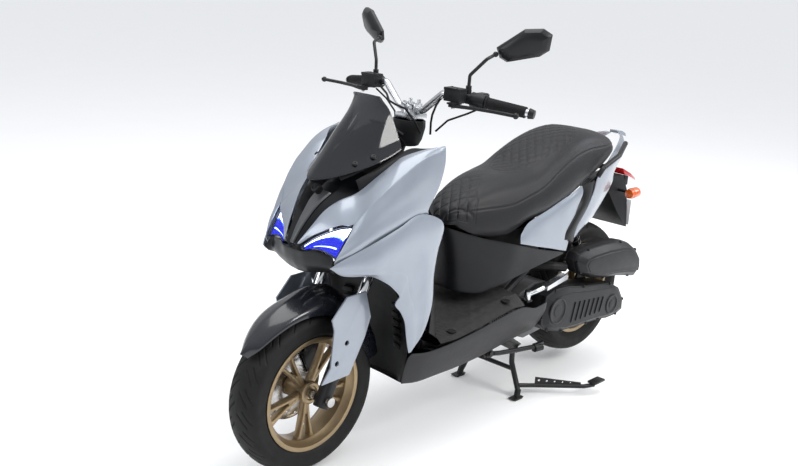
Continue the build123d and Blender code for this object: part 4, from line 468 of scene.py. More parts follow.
def remake(node, pick, bevel=0.7, deg=32.0, seg=2, bevel_deg=35.0, name=None):
    """a finer copy of a CAD node: flat faces merged, edges rounded, and a finish for each of its solids.
    pick(centre, low, high) -> material name, in design millimetres"""
    src = NODES[node]
    bm = bmesh.new()
    bm.from_mesh(src.data)
    bmesh.ops.remove_doubles(bm, verts=bm.verts, dist=2e-6)
    bm.verts.ensure_lookup_table()
    bm.faces.ensure_lookup_table()
    seen, names = set(), []
    for f0 in bm.faces:
        if f0.index in seen:
            continue
        stack, isl = [f0], []
        seen.add(f0.index)
        while stack:
            f = stack.pop()
            isl.append(f)
            for e in f.edges:
                for g in e.link_faces:
                    if g.index not in seen:
                        seen.add(g.index)
                        stack.append(g)
        co = [v.co for f in isl for v in f.verts]
        lo = [min(c[i] for c in co) * 1000 - (SX if i == 0 else 0) for i in range(3)]
        hi = [max(c[i] for c in co) * 1000 - (SX if i == 0 else 0) for i in range(3)]
        cen = [(a + b) / 2 for a, b in zip(lo, hi)]
        mname = pick(cen, lo, hi)
        if mname not in names:
            names.append(mname)
        for f in isl:
            f.material_index = names.index(mname)
    bmesh.ops.dissolve_limit(bm, angle_limit=math.radians(0.8), verts=bm.verts, edges=bm.edges, delimit={"MATERIAL"})
    bmesh.ops.recalc_face_normals(bm, faces=bm.faces)
    me = bpy.data.meshes.new((name or node) + "_fine")
    bm.to_mesh(me)
    bm.free()
    o = bpy.data.objects.new((name or node) + "_fine", me)
    bpy.context.scene.collection.objects.link(o)
    for m in names:
        me.materials.append(MATS[m])
    if bevel > 0:
        b = o.modifiers.new("edge", "BEVEL")
        b.width = bevel * 0.001
        b.segments = seg
        b.limit_method = "ANGLE"
        b.angle_limit = math.radians(bevel_deg)
    finish_mesh(o, deg)
    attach(o, NODE_BODY[node])
    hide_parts(node)
    return o


# ================================================================== wheels
def tyre_piece(name, node, body, cx, cz, R, W, n_g, lean, direction):
    half = [(R_RIM - 8, 46.4), (R_RIM + 1, 47.6), (R_RIM + 4, 50.5), (R_RIM + 10, 54.0), (R_RIM + 24, W - 2.2), (R - 32, W - 0.2), (R - 24, W - 1.5), (R - 18, W - 6),
            (R - 12, W * 0.79), (R - 7, W * 0.62), (R - 3.6, W * 0.44), (R - 1.6, W * 0.28), (R - 0.4, W * 0.12), (R, 0.0)]
    prof = []
    for i in range(len(half) - 1):
        a, b = half[i], half[i + 1]
        L = math.hypot(a[0] - b[0], a[1] - b[1])
        n = max(1, int(L / (2.0 if i >= 7 else 3.0)))
        seg = [cr((half[max(0, i - 1)]) if i > 0 else (2 * a[0] - b[0], 2 * a[1] - b[1]), a, b,
                  half[i + 2] if i + 2 < len(half) else (b[0] - 3.6 * 0 - 0.4, -half[i][1]), k / n) for k in range(n)]
        prof += seg
    prof = prof + [(R, 0.0)] + [(r, -y) for r, y in reversed(prof)]
    NT = 760
    verts, faces = [], []
    step = 2 * math.pi / n_g
    for i in range(NT):
        th = 2 * math.pi * i / NT
        for r, y in prof:
            d = 0.0
            s = 1 if y >= 0 else -1
            u = abs(y) / W
            if r > R - 22:
                for (u0, u1, ph, w0, w1) in ((0.07, 0.66, 0.0, 3.4, 2.4), (0.36, 0.90, 0.5, 3.0, 2.0)):
                    if u0 < u < u1:
                        off = (0.0 if s > 0 else 0.5) + ph
                        c = direction * lean * (u ** 1.25) * 0.30
                        q = (th - c) / step - off
                        q = (q - round(q)) * step * R
                        w = w0 + (w1 - w0) * (u - u0) / (u1 - u0)
                        e = min((u - u0) * W / 2.5, (u1 - u) * W / 2.5, 1.0)
                        t = abs(q) / w
                        if t < 1.35:
                            d = max(d, 2.6 * e * smooth01((1.35 - t) / 0.55))
            # fine rings and a rim guard on the side wall
            if R_RIM + 12 < r < R - 30:
                d += 0.35 * (1 if int((r - R_RIM) / 3.0) % 2 else 0)
            rr = r - d
            verts.append((cx + rr * math.cos(th), y, cz + rr * math.sin(th)))
    m = len(prof)
    for i in range(NT):
        a0, b0 = i * m, ((i + 1) % NT) * m
        for j in range(m - 1):
            faces.append((a0 + j, a0 + j + 1, b0 + j + 1, b0 + j))
    # inner skin closes the bead side
    inner = [(R_RIM - 8, 46.4), (R_RIM - 8, 41.5), (R - 26, W - 12), (R - 13, W * 0.4), (R - 12, 0), (R - 13, -W * 0.4), (R - 26, -(W - 12)), (R_RIM - 8, -41.5), (R_RIM - 8, -46.4)]
    NI = 190
    base = len(verts)
    for i in range(NI):
        th = 2 * math.pi * i / NI
        for r, y in inner:
            verts.append((cx + r * math.cos(th), y * 0.999, cz + r * math.sin(th)))
    m2 = len(inner)
    for i in range(NI):
        a0, b0 = base + i * m2, base + ((i + 1) % NI) * m2
        for j in range(m2 - 1):
            faces.append((a0 + j, b0 + j, b0 + j + 1, a0 + j + 1))
    o = obj(name, verts, faces, body, "tyre", slot="tyre", stands=(node,), deg=55, orient=False)
    return o


tyre_piece("front_tyre_tread", "front_tyre", "front_wheel", AXF, ZF, R_FT, W_FT, 24, 1.0, -1)
tyre_piece("rear_tyre_tread", "rear_tyre", "rear_wheel", AXR, ZR, R_RT, W_RT, 26, 1.0, -1)


def wheel_piece(name, node, body, cx, cz, lo, hi, phase, disc_y, disc_r, slot="bronze"):
    B = Build()
    bs = R_RIM - 9.3
    prof = [(R_RIM - 0.2, 51.3), (R_RIM - 0.2, 48.2), (bs + 0.2, 47.2), (bs, 38), (bs - 12, 26), (bs - 12, -26), (bs, -38), (bs + 0.2, -47.2), (R_RIM - 0.2, -48.2),
            (R_RIM - 0.2, -51.3), (R_RIM - 3.0, -51.5), (bs - 3.8, -50.6), (bs - 6, -40), (bs - 17, -28), (bs - 17.6, -6), (bs - 17.6, 6), (bs - 17, 28), (bs - 6, 40), (bs - 3.8, 50.6), (R_RIM - 3.0, 51.5)]
    n = 144
    vs = [(cx + r * math.cos(2 * math.pi * i / n), y, cz + r * math.sin(2 * math.pi * i / n)) for i in range(n) for r, y in prof]
    m = len(prof)
    fs = [(i * m + j, i * m + (j + 1) % m, ((i + 1) % n) * m + (j + 1) % m, ((i + 1) % n) * m + j) for i in range(n) for j in range(m)]
    B.add(vs, fs)
    # hub
    hp = [(8.0, lo), (30, lo), (34, lo + 3), (34, lo + 10), (27, lo + 24), (25.5, 0), (27, hi - 24), (34, hi - 10), (34, hi - 3), (30, hi), (22, hi), (20, hi - 5), (14, hi - 5), (12.5, hi), (8.0, hi)]
    n = 64
    vs = [(cx + r * math.cos(2 * math.pi * i / n), y, cz + r * math.sin(2 * math.pi * i / n)) for i in range(n) for r, y in hp]
    m = len(hp)
    B.add(vs, [(i * m + j, i * m + (j + 1) % m, ((i + 1) % n) * m + (j + 1) % m, ((i + 1) % n) * m + j) for i in range(n) for j in range(m)])
    yc = 12.0
    for k in range(5):
        a = phase + k * 72.0
        for da in (-9.5, 9.5):
            r0, r1 = 20.0, bs - 12.0
            rings = []
            for q in range(11):
                t = q / 10
                r = r0 + (r1 - r0) * t
                aa = math.radians(a + da * (0.5 + 0.5 * t))
                dc, ds = math.cos(aa), math.sin(aa)
                w = 8.0 - 2.4 * math.sin(math.pi * min(1.0, t * 1.05)) - 1.2 * t + (4.0 * smooth01((t - 0.86) / 0.14))
                h = 13.0 - 2.0 * t
                yy = yc - 2.0 * math.sin(math.pi * t)
                ring = []
                for (u, v) in ((-1, -0.8), (-0.86, -1), (0.86, -1), (1, -0.8), (1, 0.6), (0.55, 1.0), (-0.55, 1.0), (-1, 0.6)):
                    ring.append((cx + r * dc - ds * w * u, yy + h * v, cz + r * ds + dc * w * u))
                rings.append(ring)
            v, f = loft_parts(rings)
            B.add(v, f)
        # small web where the fork of the spoke starts
        rings = []
        for t, w in ((0.0, 12.0), (0.5, 9.0), (1.0, 3.0)):
            r = 26.0 + 46.0 * t
            aa = math.radians(a)
            dc, ds = math.cos(aa), math.sin(aa)
            rings.append([(cx + r * dc - ds * w * u, yc + 9.0 * v, cz + r * ds + dc * w * u) for (u, v) in ((-1, -1), (1, -1), (1, 0.7), (0.6, 1), (-0.6, 1), (-1, 0.7))])
        v, f = loft_parts(rings)
        B.add(v, f)
    # valve
    a = math.radians(phase + 36)
    v, f = lathe_parts([(3.0, 0), (3.0, 16), (4.0, 17), (4.0, 26), (3.2, 28), (0.2, 28.4)], (cx + (bs - 17) * math.cos(a), 6, cz + (bs - 17) * math.sin(a)), (-math.cos(a), 0.25, -math.sin(a)), 12)
    B.add(v, f, 2)
    if disc_y is not None:
        y0, y1 = disc_y
        n = 96
        pr = [(disc_r, y0 + 0.5), (disc_r - 0.5, y0), (disc_r - 32, y0), (disc_r - 32, y1), (disc_r - 0.5, y1), (disc_r, y1 - 0.5)]
        vs = [(cx + r * math.cos(2 * math.pi * i / n), y, cz + r * math.sin(2 * math.pi * i / n)) for i in range(n) for r, y in pr]
        m = len(pr)
        B.add(vs, [(i * m + j, i * m + (j + 1) % m, ((i + 1) % n) * m + (j + 1) % m, ((i + 1) % n) * m + j) for i in range(n) for j in range(m)], 1)
        for i in range(5):
            aa = 2 * math.pi * i / 5 + 0.3
            ring = []
            for r, w in ((18, 12), (50, 8), (disc_r - 30, 10)):
                ring.append([(cx + r * math.cos(aa) - math.sin(aa) * w * u, yy, cz + r * math.sin(aa) + math.cos(aa) * w * u) for u, yy in ((-1, y0 + 0.4), (1, y0 + 0.4), (1, y1 - 0.4), (-1, y1 - 0.4))])
            v, f = loft_parts(ring)
            B.add(v, f, 1)
    return B.make(name, body, ["bronze", "steel", "steel_black"], slot=slot, stands=(node,), deg=32, bevel=0.5, bevel_deg=40)


wheel_piece("front_rim_cast", "front_rim", "front_wheel", AXF, ZF, -47.8, 39.8, 54, None, 0)
wheel_piece("rear_rim_cast", "rear_rim", "rear_wheel", AXR, ZR, -39.8, 57.8, 30, (-44.1, -40.1), 105)

# ================================================================== body panels (design grids)
UI = [(712, 27, 702), (676, 46, 753), (645, 60, 792), (610, 80, 820), (567, 105, 841), (519, 128, 882), (470, 148, 922), (445, 160, 940), (400, 192, 959), (340, 217, 968)]
UK = [(709, 33, 701), (690, 56, 724), (669, 92, 748), (646, 125, 766), (620, 151, 770), (584, 178, 822), (541, 195, 863), (503, 204, 892), (427, 216, 939), (340, 221, 956)]
UL = [None, None, None, None, (680, 147, 676), (626, 186, 719), (534, 212, 761), (464, 222, 785), (425, 223.5, 792), (399, 224, 799)]


def upper_top():
    rows = [[], [], [], []]
    for a, b in zip(UI, UK):
        w = vlen(vsub(a, b))
        rows[0].append(a)
        rows[1].append(vadd(lerp(a, b, 0.33), (0, w * 0.03, w * 0.07)))
        rows[2].append(vadd(lerp(a, b, 0.67), (0, w * 0.03, w * 0.06)))
        rows[3].append(b)
    return rows


def upper_low():
    rows = [[], [], [], [], []]
    rear = [(340, 221, 956), (344, 225, 912), (366, 227, 853), (399, 224, 799)]
    for j in range(4, 10):
        a, b = UK[j], UL[j]
        for i in range(4):
            if j == 9:
                rows[i].append(rear[i])
            else:
                p = lerp(a, b, i / 3.0)
                rows[i].append(vadd(p, (0, (0, 4.5, 2.5, 0)[i], 0)))
        rows[4].append(vadd(UL[j] if j < 9 else rear[3], (-8, -8, -24)))
    return rows


B = Build()
B.add(*skin_parts(refine(upper_top(), 6, 4), (430, 0, 760), 3.0))
B.add(*skin_parts(refine(upper_low(), 6, 5), (430, 0, 760), 3.0))
B.mirror()
B.make("upper_cowl_skins", "frame", "paint_grey", slot="grey_gloss", stands=("upper_cowls",), bevel=0.9, bevel_deg=50, seg=3, deg=48)

WT = [(694, 142.5, 655.5), (667, 160, 677), (588, 200, 722), (512, 219, 757), (440, 226, 786), (361, 228, 764), (334, 228, 730), (352, 227, 664), (357, 222, 589), (346, 212, 494), (358, 198, 410), (394, 186, 353)]
W1 = [(693.5, 142.8, 655), (665, 166, 657), (598, 207, 656), (540, 222, 676), (474, 232, 702), (425, 235, 700), (400, 233, 655), (394, 227, 610), (388, 220, 560), (376, 208, 488), (374, 196, 405), (397, 187, 352.5)]
W2 = [(693, 142.8, 654.5), (660, 165, 640), (590, 202, 634), (536, 210, 628), (492, 215, 626), (462, 215, 610), (446, 208, 568), (428, 205, 530), (412, 202, 505), (402, 199, 458), (392, 193, 392), (400, 187, 352)]
WB = [(692.5, 142.5, 654), (657, 160, 631), (581, 188, 622), (530, 198, 596), (498, 200, 571), (473, 200, 543), (479, 190, 518), (456, 190, 492), (433, 188, 456), (422, 187, 410), (412, 185, 377), (404, 184, 351)]
# the two long creases stay crisp: each band is refined alone
B = Build()
for a, b, bow in ((WT, W1, 3.0), (W1, W2, -2.0), (W2, WB, 1.5)):
    ra, rb = refine_row(a, 6), refine_row(b, 6)
    rows = []
    for t in (0, 0.2, 0.4, 0.6, 0.8, 1.0):
        k = bow * 4 * t * (1 - t)
        rows.append([vadd(lerp(p, q, t), (0, k * min(1.0, vlen(vsub(p, q)) / 40.0), 0)) for p, q in zip(ra, rb)])
    B.add(*skin_parts(rows, (430, 0, 620), 3.0))
B.mirror()
B.make("side_wing_skins", "frame", "paint_grey", slot="grey_gloss", stands=("side_wings",), bevel=0.9, bevel_deg=52, seg=3, deg=22)

NS = [(705, 696), (680, 738), (650, 776), (624, 803), (590, 826), (545, 852), (500, 885)]
NEDGE = [(707, 21.5, 696), (672, 40, 746), (641, 54, 785), (606, 74, 812), (563, 99, 832), (514, 122, 873), (472, 139, 907)]
NVAL = [(703, 15, 688), (664, 26, 730), (632, 36, 764), (600, 48, 786), (560, 66, 806), (520, 84, 836), (480, 98, 868)]
NCW = [9, 14, 19, 25, 30, 34, 36]
rows = []
for (x, z), e, v, w in zip(NS, NEDGE, NVAL, NCW):
    half = [(x, 0, z), (x - 1, w, z - 1), (v[0], max(v[1], w + 4), v[2]), e]
    rows.append([mir(p) for p in reversed(half[1:])] + half)
B = Build()
B.add(*skin_parts(refine(rows, 1, 6), (520, 0, 700), 2.5))
rings = []
for (x, z), w in [(refine_row([(a[0], 0, a[1]) for a in NS[0:5]], 6)[i], refine_row([(a, 0, 0) for a in NCW[0:5]], 6)[i]) for i in range(25)] and \
        [((p[0], p[2]), q[0]) for p, q in zip(refine_row([(a[0], 0, a[1]) for a in NS[0:5]], 6), refine_row([(a, 0, 0) for a in NCW[0:5]], 6))]:
    w = w - 2.5
    n = (0.72, 0, 0.69)
    b = (x, 0, z)
    rings.append([vadd(b, (n[0] * 0.6, -w, n[2] * 0.6)), vadd(b, (n[0] * 0.6, w, n[2] * 0.6)),
                  vadd(b, (n[0] * 6.4, w * 0.84, n[2] * 6.4)), vadd(b, (n[0] * 7, w * 0.4, n[2] * 7)), vadd(b, (n[0] * 7, -w * 0.4, n[2] * 7)), vadd(b, (n[0] * 6.4, -w * 0.84, n[2] * 6.4))])
v, f = loft_parts(rings)
B.add(v, f, 1)
T = [(689, 138, 650), (672, 127, 679), (684, 98, 686), (692, 68, 688), (703, 42, 681), (704, 16, 680), (704, 0, 680)]
M = [(682, 138, 642), (676, 122, 648), (684, 96, 650), (690, 66, 648), (694, 40, 644), (696, 16, 642), (697, 0, 641)]
Bt = [(674, 138, 635), (664, 120, 632), (672, 94, 628), (677, 64, 622), (679, 38, 616), (677, 16, 612), (677, 0, 611)]
rows = [r + [mir(p) for p in reversed(r[:-1])] for r in (T, M, Bt)]
B.add(*skin_parts(refine(rows, 4, 4), (500, 0, 680), 2.5), 0)
# forward camera boss
ax = (18, 0, 14)
v, f = lathe_parts([(13, 0), (13, 20), (11.5, 22.5), (8.6, 22.8), (8.2, 20.5), (5.0, 20.3), (4.2, 21.6), (0.2, 22.2)], (612, 0, 832), ax, 32)
B.add(v, f, 2)
B.make("nose_panel_skin", "frame", ["panel_black", "plastic_grey", "plastic_satin"], slot="black_gloss", stands=("nose_panel",), bevel=0.6, bevel_deg=50, deg=30)

# ------------------------------------------------------------------ lamps
LT = [(707, 36, 695), (686, 60, 719), (664, 95, 743), (641, 127, 759), (619, 148, 764)]
LM = [(708, 42, 690), (690, 66, 708), (675, 98, 722), (660, 126, 730), (646, 147, 728)]
LB = [(706, 44, 685), (693, 68, 694), (686, 98, 693), (681, 124, 686), (677, 143, 678)]


def off(p, d):
    return vadd(p, vmul((0.86, 0.28, 0.42), -d))


B = Build()
B.add(*skin_parts(refine([LT, LM, LB], 8, 8), (500, 60, 650), 1.6))
B.mirror()
B.make("lamp_cover_lenses", "frame", "glass_clear", slot="lens", stands=("lamp_covers",), deg=40)

g = refine([LT, LM, LB], 12, 12)
R_, C_ = len(g), len(g[0])
cen = (676, 95, 712)
inner = [[off(lerp(p, cen, 0.05), 9.0) for p in row] for row in g]
B = Build()
idx = []
vs, fs = skin_parts(inner, (500, 60, 650), 1.5)
k = 0
for i in range(R_ - 1):
    for j in range(C_ - 1):
        t, s = (i + 0.5) / (R_ - 1), (j + 0.5) / (C_ - 1)      # t: top to bottom, s: inner to outer end
        cut = 0.10 + 0.42 * s ** 1.35 - 0.22 * max(0.0, s - 0.93) / 0.07
        if t < 0.035 or s < 0.03 or s > 0.985 or t > 0.97:
            mi = 3
        elif t < cut:
            mi = 0
        elif t < cut + 0.05:
            mi = 1
        else:
            mi = 4 if 0.74 < t < 0.79 and 0.22 < s < 0.86 else 2
        idx += [mi, 3]
idx += [3] * (len(fs) - len(idx))
B.add(vs, fs, idx)
# two projector lenses with bezels, and the thin light line over them
for c in ((672, 84, 700), (668, 112, 700)):
    p = off(c, 13)
    v, f = lathe_parts([(11.0, 0), (11.0, 6.5), (9.6, 7.5), (8.6, 7.2), (8.4, 5.0)], p, (0.86, 0.28, 0.42), 32)
    B.add(v, f, 3)
    v, f = lathe_parts([(8.2, 4.0), (8.0, 6.0), (6.6, 8.2), (4.0, 9.6), (0.3, 10.2)], p, (0.86, 0.28, 0.42), 32)
    B.add(v, f, 3)
    v, f = lathe_parts([(4.6, 8.8), (3.8, 10.6), (0.3, 11.4)], p, (0.86, 0.28, 0.42), 16)
    B.add(v, f, 4)
# housing wall behind
top = refine_row(LT, 8)
bot = refine_row(LB, 8)


def lamp_ring(d, f_):
    return [off(lerp(cen, p, f_), d) for p in top] + [off(lerp(cen, p, f_), d) for p in reversed(bot)]


v, f = loft_parts([lamp_ring(2.2, 0.985), lamp_ring(12, 0.95), lamp_ring(40, 0.74)])
B.add(v, f[:-2] + [f[-1]], 3)
B.mirror()
B.make("lamp_unit_interiors", "frame", ["lamp_white", "lamp_edge", "lamp_blue", "lamp_bezel", "lamp_line"], slot="lamp", stands=("lamp_units",), deg=40, orient=False)

# ------------------------------------------------------------------ screen and dash
SC = [[(648, 0, 868), (640, 22, 870), (612, 52, 878), (570, 82, 892), (515, 106, 910), (455, 120, 932), (416, 124, 950)],
      [(596, 0, 931), (588, 22, 931), (566, 46, 934), (532, 70, 940), (490, 88, 950), (444, 98, 968), (410, 104, 980)],
      [(548, 0, 987), (542, 20, 987), (524, 40, 989), (496, 58, 994), (464, 72, 1002), (436, 80, 1012), (412, 86, 1018)],
      [(500, 0, 1040), (496, 16, 1040), (484, 32, 1041), (468, 46, 1044), (450, 57, 1050), (434, 64, 1055), (422, 70, 1056)],
      [(453, 0, 1093), (452, 13, 1093), (450, 25, 1092.5), (449, 35, 1092), (447, 43, 1091), (445, 49, 1090), (444, 54, 1087)]]
rows = [[mir(p) for p in reversed(r[1:])] + r for r in SC]
B = Build()
B.add(*skin_parts(refine(rows, 5, 8), (350, 0, 850), 3.0))
B.make("windscreen_smoked", "frame", "smoke_screen", slot="smoke", stands=("windscreen",), deg=40, bevel=0.6, bevel_deg=55)

B = Build()
A = [(556, 103, 838), (508, 126, 882), (462, 146, 920), (438, 160, 935), (396, 188, 950), (346, 206, 957)]
Mm = [(556, 98, 852), (508, 118, 893), (458, 134, 926), (430, 142, 938), (376, 150, 948), (326, 160, 950)]
Bb = [(560, 90, 872), (508, 104, 896), (452, 114, 922), (420, 116, 936), (362, 112, 945), (300, 112, 936)]
B.add(*skin_parts(refine([A, Mm, Bb], 5, 4), (450, 0, 700), 2.5), 0)
A = [(585, 58, 868), (530, 84, 894), (470, 98, 926), (420, 100, 950), (398, 88, 990)]
Bb = [(590, 48, 880), (536, 72, 908), (474, 88, 940), (424, 90, 966), (400, 78, 998)]
B.add(*skin_parts(refine([A, Bb], 6, 3), (350, 0, 850), 3.0), 0)
for p, q in (((502, 97, 931), (0.42, 0.55, 0.72)), ((553, 77.5, 914), (0.5, 0.46, 0.73))):
    n = vunit(q)
    v, f = bolt_parts(vadd(p, vmul(n, 3.2)), n, 5.2, 3.6)
    B.add(v, f, 2)
B.mirror()
rows = [[(560, 60, 884), (560, 30, 890), (560, 0, 892)], [(500, 74, 916), (500, 36, 926), (500, 0, 930)], [(440, 82, 948), (440, 40, 968), (440, 0, 974)],
        [(392, 72, 978), (392, 36, 996), (392, 0, 1002)], [(352, 62, 960), (352, 34, 976), (352, 0, 980)], [(327, 57, 939), (329, 30, 945), (331, 0, 947)]]
rows = [r + [mir(p) for p in reversed(r[:-1])] for r in rows]
B.add(*skin_parts(refine(rows, 5, 5), (440, 0, 800), 2.5), 0)
nn = vunit((-0.55, 0, 0.84))
for h0, h1, wa, wb, xa, za, xb, zb, mi in ((2.5, 8.0, 40, 46, 388, 1000.5, 334, 967, 1), (8.0, 8.8, 35, 40, 384, 998, 339, 970.5, 3)):
    rr = []
    for h, s in ((h0, 1.0), (h1 - 0.4, 1.0), (h1, 0.97)):
        rr.append([vadd(q, vmul(nn, h)) for q in ((xa, -wa * s, za), (xa, wa * s, za), (xb, wb * s, zb), (xb, -wb * s, zb))])
    v, f = loft_parts(rr)
    B.add(v, f, mi)
B.make("dash_panel_skins", "frame", ["plastic_black", "plastic_satin", "steel_black", "screen_lcd"], slot="black_plastic", stands=("dash_panels",), bevel=0.7, bevel_deg=50, deg=36)

# ------------------------------------------------------------------ leg shield, liners, floor
rows = [[(330, 205, 950), (292, 120, 925), (266, 84, 908), (232, 70, 896), (204, 40, 888), (198, 0, 886)],
        [(336, 214, 905), (300, 160, 888), (262, 110, 872), (234, 72, 864), (214, 40, 860), (208, 0, 859)],
        [(360, 218, 846), (318, 170, 830), (268, 120, 810), (238, 76, 800), (222, 40, 796), (217, 0, 795)],
        [(388, 214, 793), (322, 172, 760), (272, 124, 740), (244, 78, 730), (230, 40, 726), (226, 0, 725)],
        [(330, 222, 722), (310, 176, 690), (272, 128, 670), (246, 80, 660), (234, 40, 656), (230, 0, 655)],
        [(346, 220, 650), (310, 178, 610), (266, 130, 590), (244, 82, 580), (234, 40, 576), (230, 0, 575)],
        [(350, 214, 575), (300, 176, 520), (254, 130, 500), (238, 84, 490), (230, 40, 486), (227, 0, 485)],
        [(336, 204, 480), (286, 176, 440), (250, 132, 420), (234, 86, 410), (226, 40, 406), (223, 0, 405)],
        [(330, 196, 400), (276, 178, 366), (250, 134, 362), (236, 88, 360), (226, 40, 360), (223, 0, 360)]]
rows = [r + [mir(p) for p in reversed(r[:-1])] for r in rows]
B = Build()
B.add(*skin_parts(refine(rows, 4, 4), (420, 0, 650), 3.0), 0)
v, f = lathe_parts([(15, 0), (15, 22), (15, 27), (13.5, 29), (5, 29.4), (4.6, 26), (0.3, 26)], (229, -74, 800), (-1, 0, 0), 32)
B.add(v, f, 1)
B.make("leg_shield_skin", "frame", ["plastic_black", "steel"], slot="black_plastic", stands=("leg_shield",), bevel=0.8, bevel_deg=50, deg=40)

B = Build()
A = [(560, 178, 612), (520, 188, 588), (488, 190, 563), (464, 188, 536), (454, 183, 520)]
Bb = [(548, 150, 640), (506, 158, 622), (476, 160, 600), (460, 160, 578), (452, 160, 560)]
B.add(*skin_parts(refine([A, Bb], 4, 3), (400, 60, 640), 2.5))
B.mirror()
rows = [[(448, 148, 546), (404, 118, 560), (396, 60, 565), (394, 0, 565)], [(414, 152, 500), (388, 120, 500), (376, 60, 500), (374, 0, 500)],
        [(398, 160, 440), (372, 120, 440), (358, 60, 440), (355, 0, 440)], [(396, 168, 370), (368, 120, 370), (352, 60, 370), (350, 0, 370)],
        [(396, 166, 300), (372, 118, 300), (358, 60, 300), (356, 0, 300)], [(398, 150, 246), (380, 116, 244), (368, 60, 244), (366, 0, 244)]]
rows = [r + [mir(p) for p in reversed(r[:-1])] for r in rows]
B.add(*skin_parts(refine(rows, 5, 5), (250, 0, 450), 2.5))
rows = [[(392, 150, 241), (374, 0, 236)], [(330, 152, 228), (330, 0, 226)], [(143, 152, 227), (143, 0, 226)], [(19, 149, 232), (19, 0, 230)], [(-24, 147, 236), (-24, 0, 233)]]
rows = [r + [mir(p) for p in reversed(r[:-1])] for r in rows]
B.add(*skin_parts(refine(rows, 6, 4), (100, 0, 300), 2.5))
# louvres in the liner
for k in range(6):
    z = 470 - 26 * k
    x = 372 + (z - 440) * 0.15
    for s in (1, -1):
        v, f = loft_parts([[(x + 6, 84 * s, z - 8), (x + 6, 84 * s, z + 5), (x - 3, 84 * s, z + 5), (x - 3, 84 * s, z - 8)],
                           [(x + 15, 118 * s, z - 8), (x + 15, 118 * s, z + 5), (x + 4, 118 * s, z + 5), (x + 4, 118 * s, z - 8)]])
        B.add(v, f)
B.make("inner_liner_skins", "frame", "plastic_black", slot="black_plastic", stands=("inner_liners",), bevel=0.6, bevel_deg=50, deg=40)

rows = [[(262, 186, 346), (243, 150, 350), (226, 100, 351), (214, 0, 351)], [(205, 196, 349), (200, 150, 357), (196, 100, 358), (192, 0, 358)],
        [(143, 201, 358), (143, 150, 368), (143, 100, 369), (143, 0, 369)], [(70, 206, 372), (70, 150, 384), (70, 112, 385), (70, 0, 385)],
        [(0, 208, 384), (0, 154, 398), (0, 122, 399), (-0.1, 0, 399)], [(-60, 208, 392), (-60, 160, 410), (-60, 140, 411), (-60, 0, 411)],
        [(-130, 204, 386), (-130, 168, 414), (-130, 146, 418), (-130, 0, 418)]]
frows = [r + [mir(p) for p in reversed(r[:-1])] for r in rows]
fg = refine(frows, 12, 10)
# raised ribs of the mat: relief on the skin itself
fl = []
for row in fg:
    out = []
    for (x, y, z) in row:
        d = 0.0
        ay = abs(y)
        edge = smooth01((172 - ay) / 6.0) * smooth01((ay - 18) / 5.0)
        if 20 < x < 236:
            ph = (x + 0.20 * ay) / 17.0
            ph = abs(ph - round(ph)) * 17.0
            d = -2.6 * smooth01((4.2 - ph) / 1.8) * edge * smooth01((236 - x) / 6.0) * smooth01((x - 20) / 6.0)
        out.append((x, y, z + d))
    fl.append(out)
B = Build()
vs, fs = skin_parts(fl, (60, 0, 300), 3.0)
B.add(vs, fs)
for s in (1, -1):
    for (x, y, z) in ((184, 160, 357.5), (-60, 176, 408)):
        v, f = lathe_parts([(15, 0), (15, 3.0), (13, 4.2), (11.5, 3.4), (0.3, 3.2)], (x, y * s, z), (0, 0, 1), 32)
        B.add(v, f, 1)
B.make("floorboard_skin", "frame", ["floor_mat", "rubber"], slot="black_plastic", stands=("floorboard",), bevel=0.0, deg=44)

B = Build()
rows = [[(394, 189, 346), (330, 196, 338), (245, 202, 342), (143, 207, 354), (19, 212, 374), (-60, 214, 386), (-118, 213, 385), (-190, 207, 366), (-257, 203, 372)],
        [(400, 180, 330), (330, 190, 316), (245, 198, 322), (143, 203, 332), (19, 207, 348), (-60, 208, 354), (-118, 206, 350), (-190, 200, 340), (-260, 196, 338)],
        [(403, 168, 285), (330, 174, 270), (245, 180, 272), (143, 184, 278), (19, 184, 286), (-60, 182, 292), (-118, 180, 292), (-190, 176, 290), (-262, 172, 290)],
        [(400, 160, 243), (330, 160, 230), (245, 160, 229), (143, 160, 229), (19, 157, 234), (-60, 155, 241), (-118, 153, 247), (-190, 152, 252), (-255, 151, 256)]]
B.add(*skin_parts(refine(rows, 5, 5), (60, 0, 320), 3.0))
B.mirror()
B.make("lower_skirt_skins", "frame", "plastic_satin", slot="black_plastic", stands=("lower_skirts",), bevel=0.9, bevel_deg=50, seg=3, deg=42)

cols = [((95, 0, 647), (62, 0, 438)), ((85, 38, 645), (57, 48, 434)), ((46, 74, 630), (28, 86, 431)), ((-12, 111, 611), (-16, 112, 430)),
        ((-70, 140, 597), (-62, 128, 442)), ((-118, 158, 584), (-106, 142, 457)), ((-180, 161, 566), (-180, 152, 475)), ((-250, 163, 546), (-255, 160, 491)), ((-380, 164, 514), (-384, 163, 508))]
rows = []
for fr in (0, 0.34, 0.68, 1.0):
    r = []
    for j, (a, b) in enumerate(cols):
        p = lerp(a, b, fr)
        if fr in (0.34, 0.68) and j < 4:
            p = vadd(p, (-8, 0, 0))
        r.append(p)
    rows.append([mir(p) for p in reversed(r[1:])] + r)
B = Build()
B.add(*skin_parts(refine(rows, 4, 5), (-250, 0, 540), 3.0))
B.make("underseat_skin", "frame", "plastic_satin", slot="black_plastic", stands=("underseat_cover",), bevel=0.8, bevel_deg=50, deg=42)

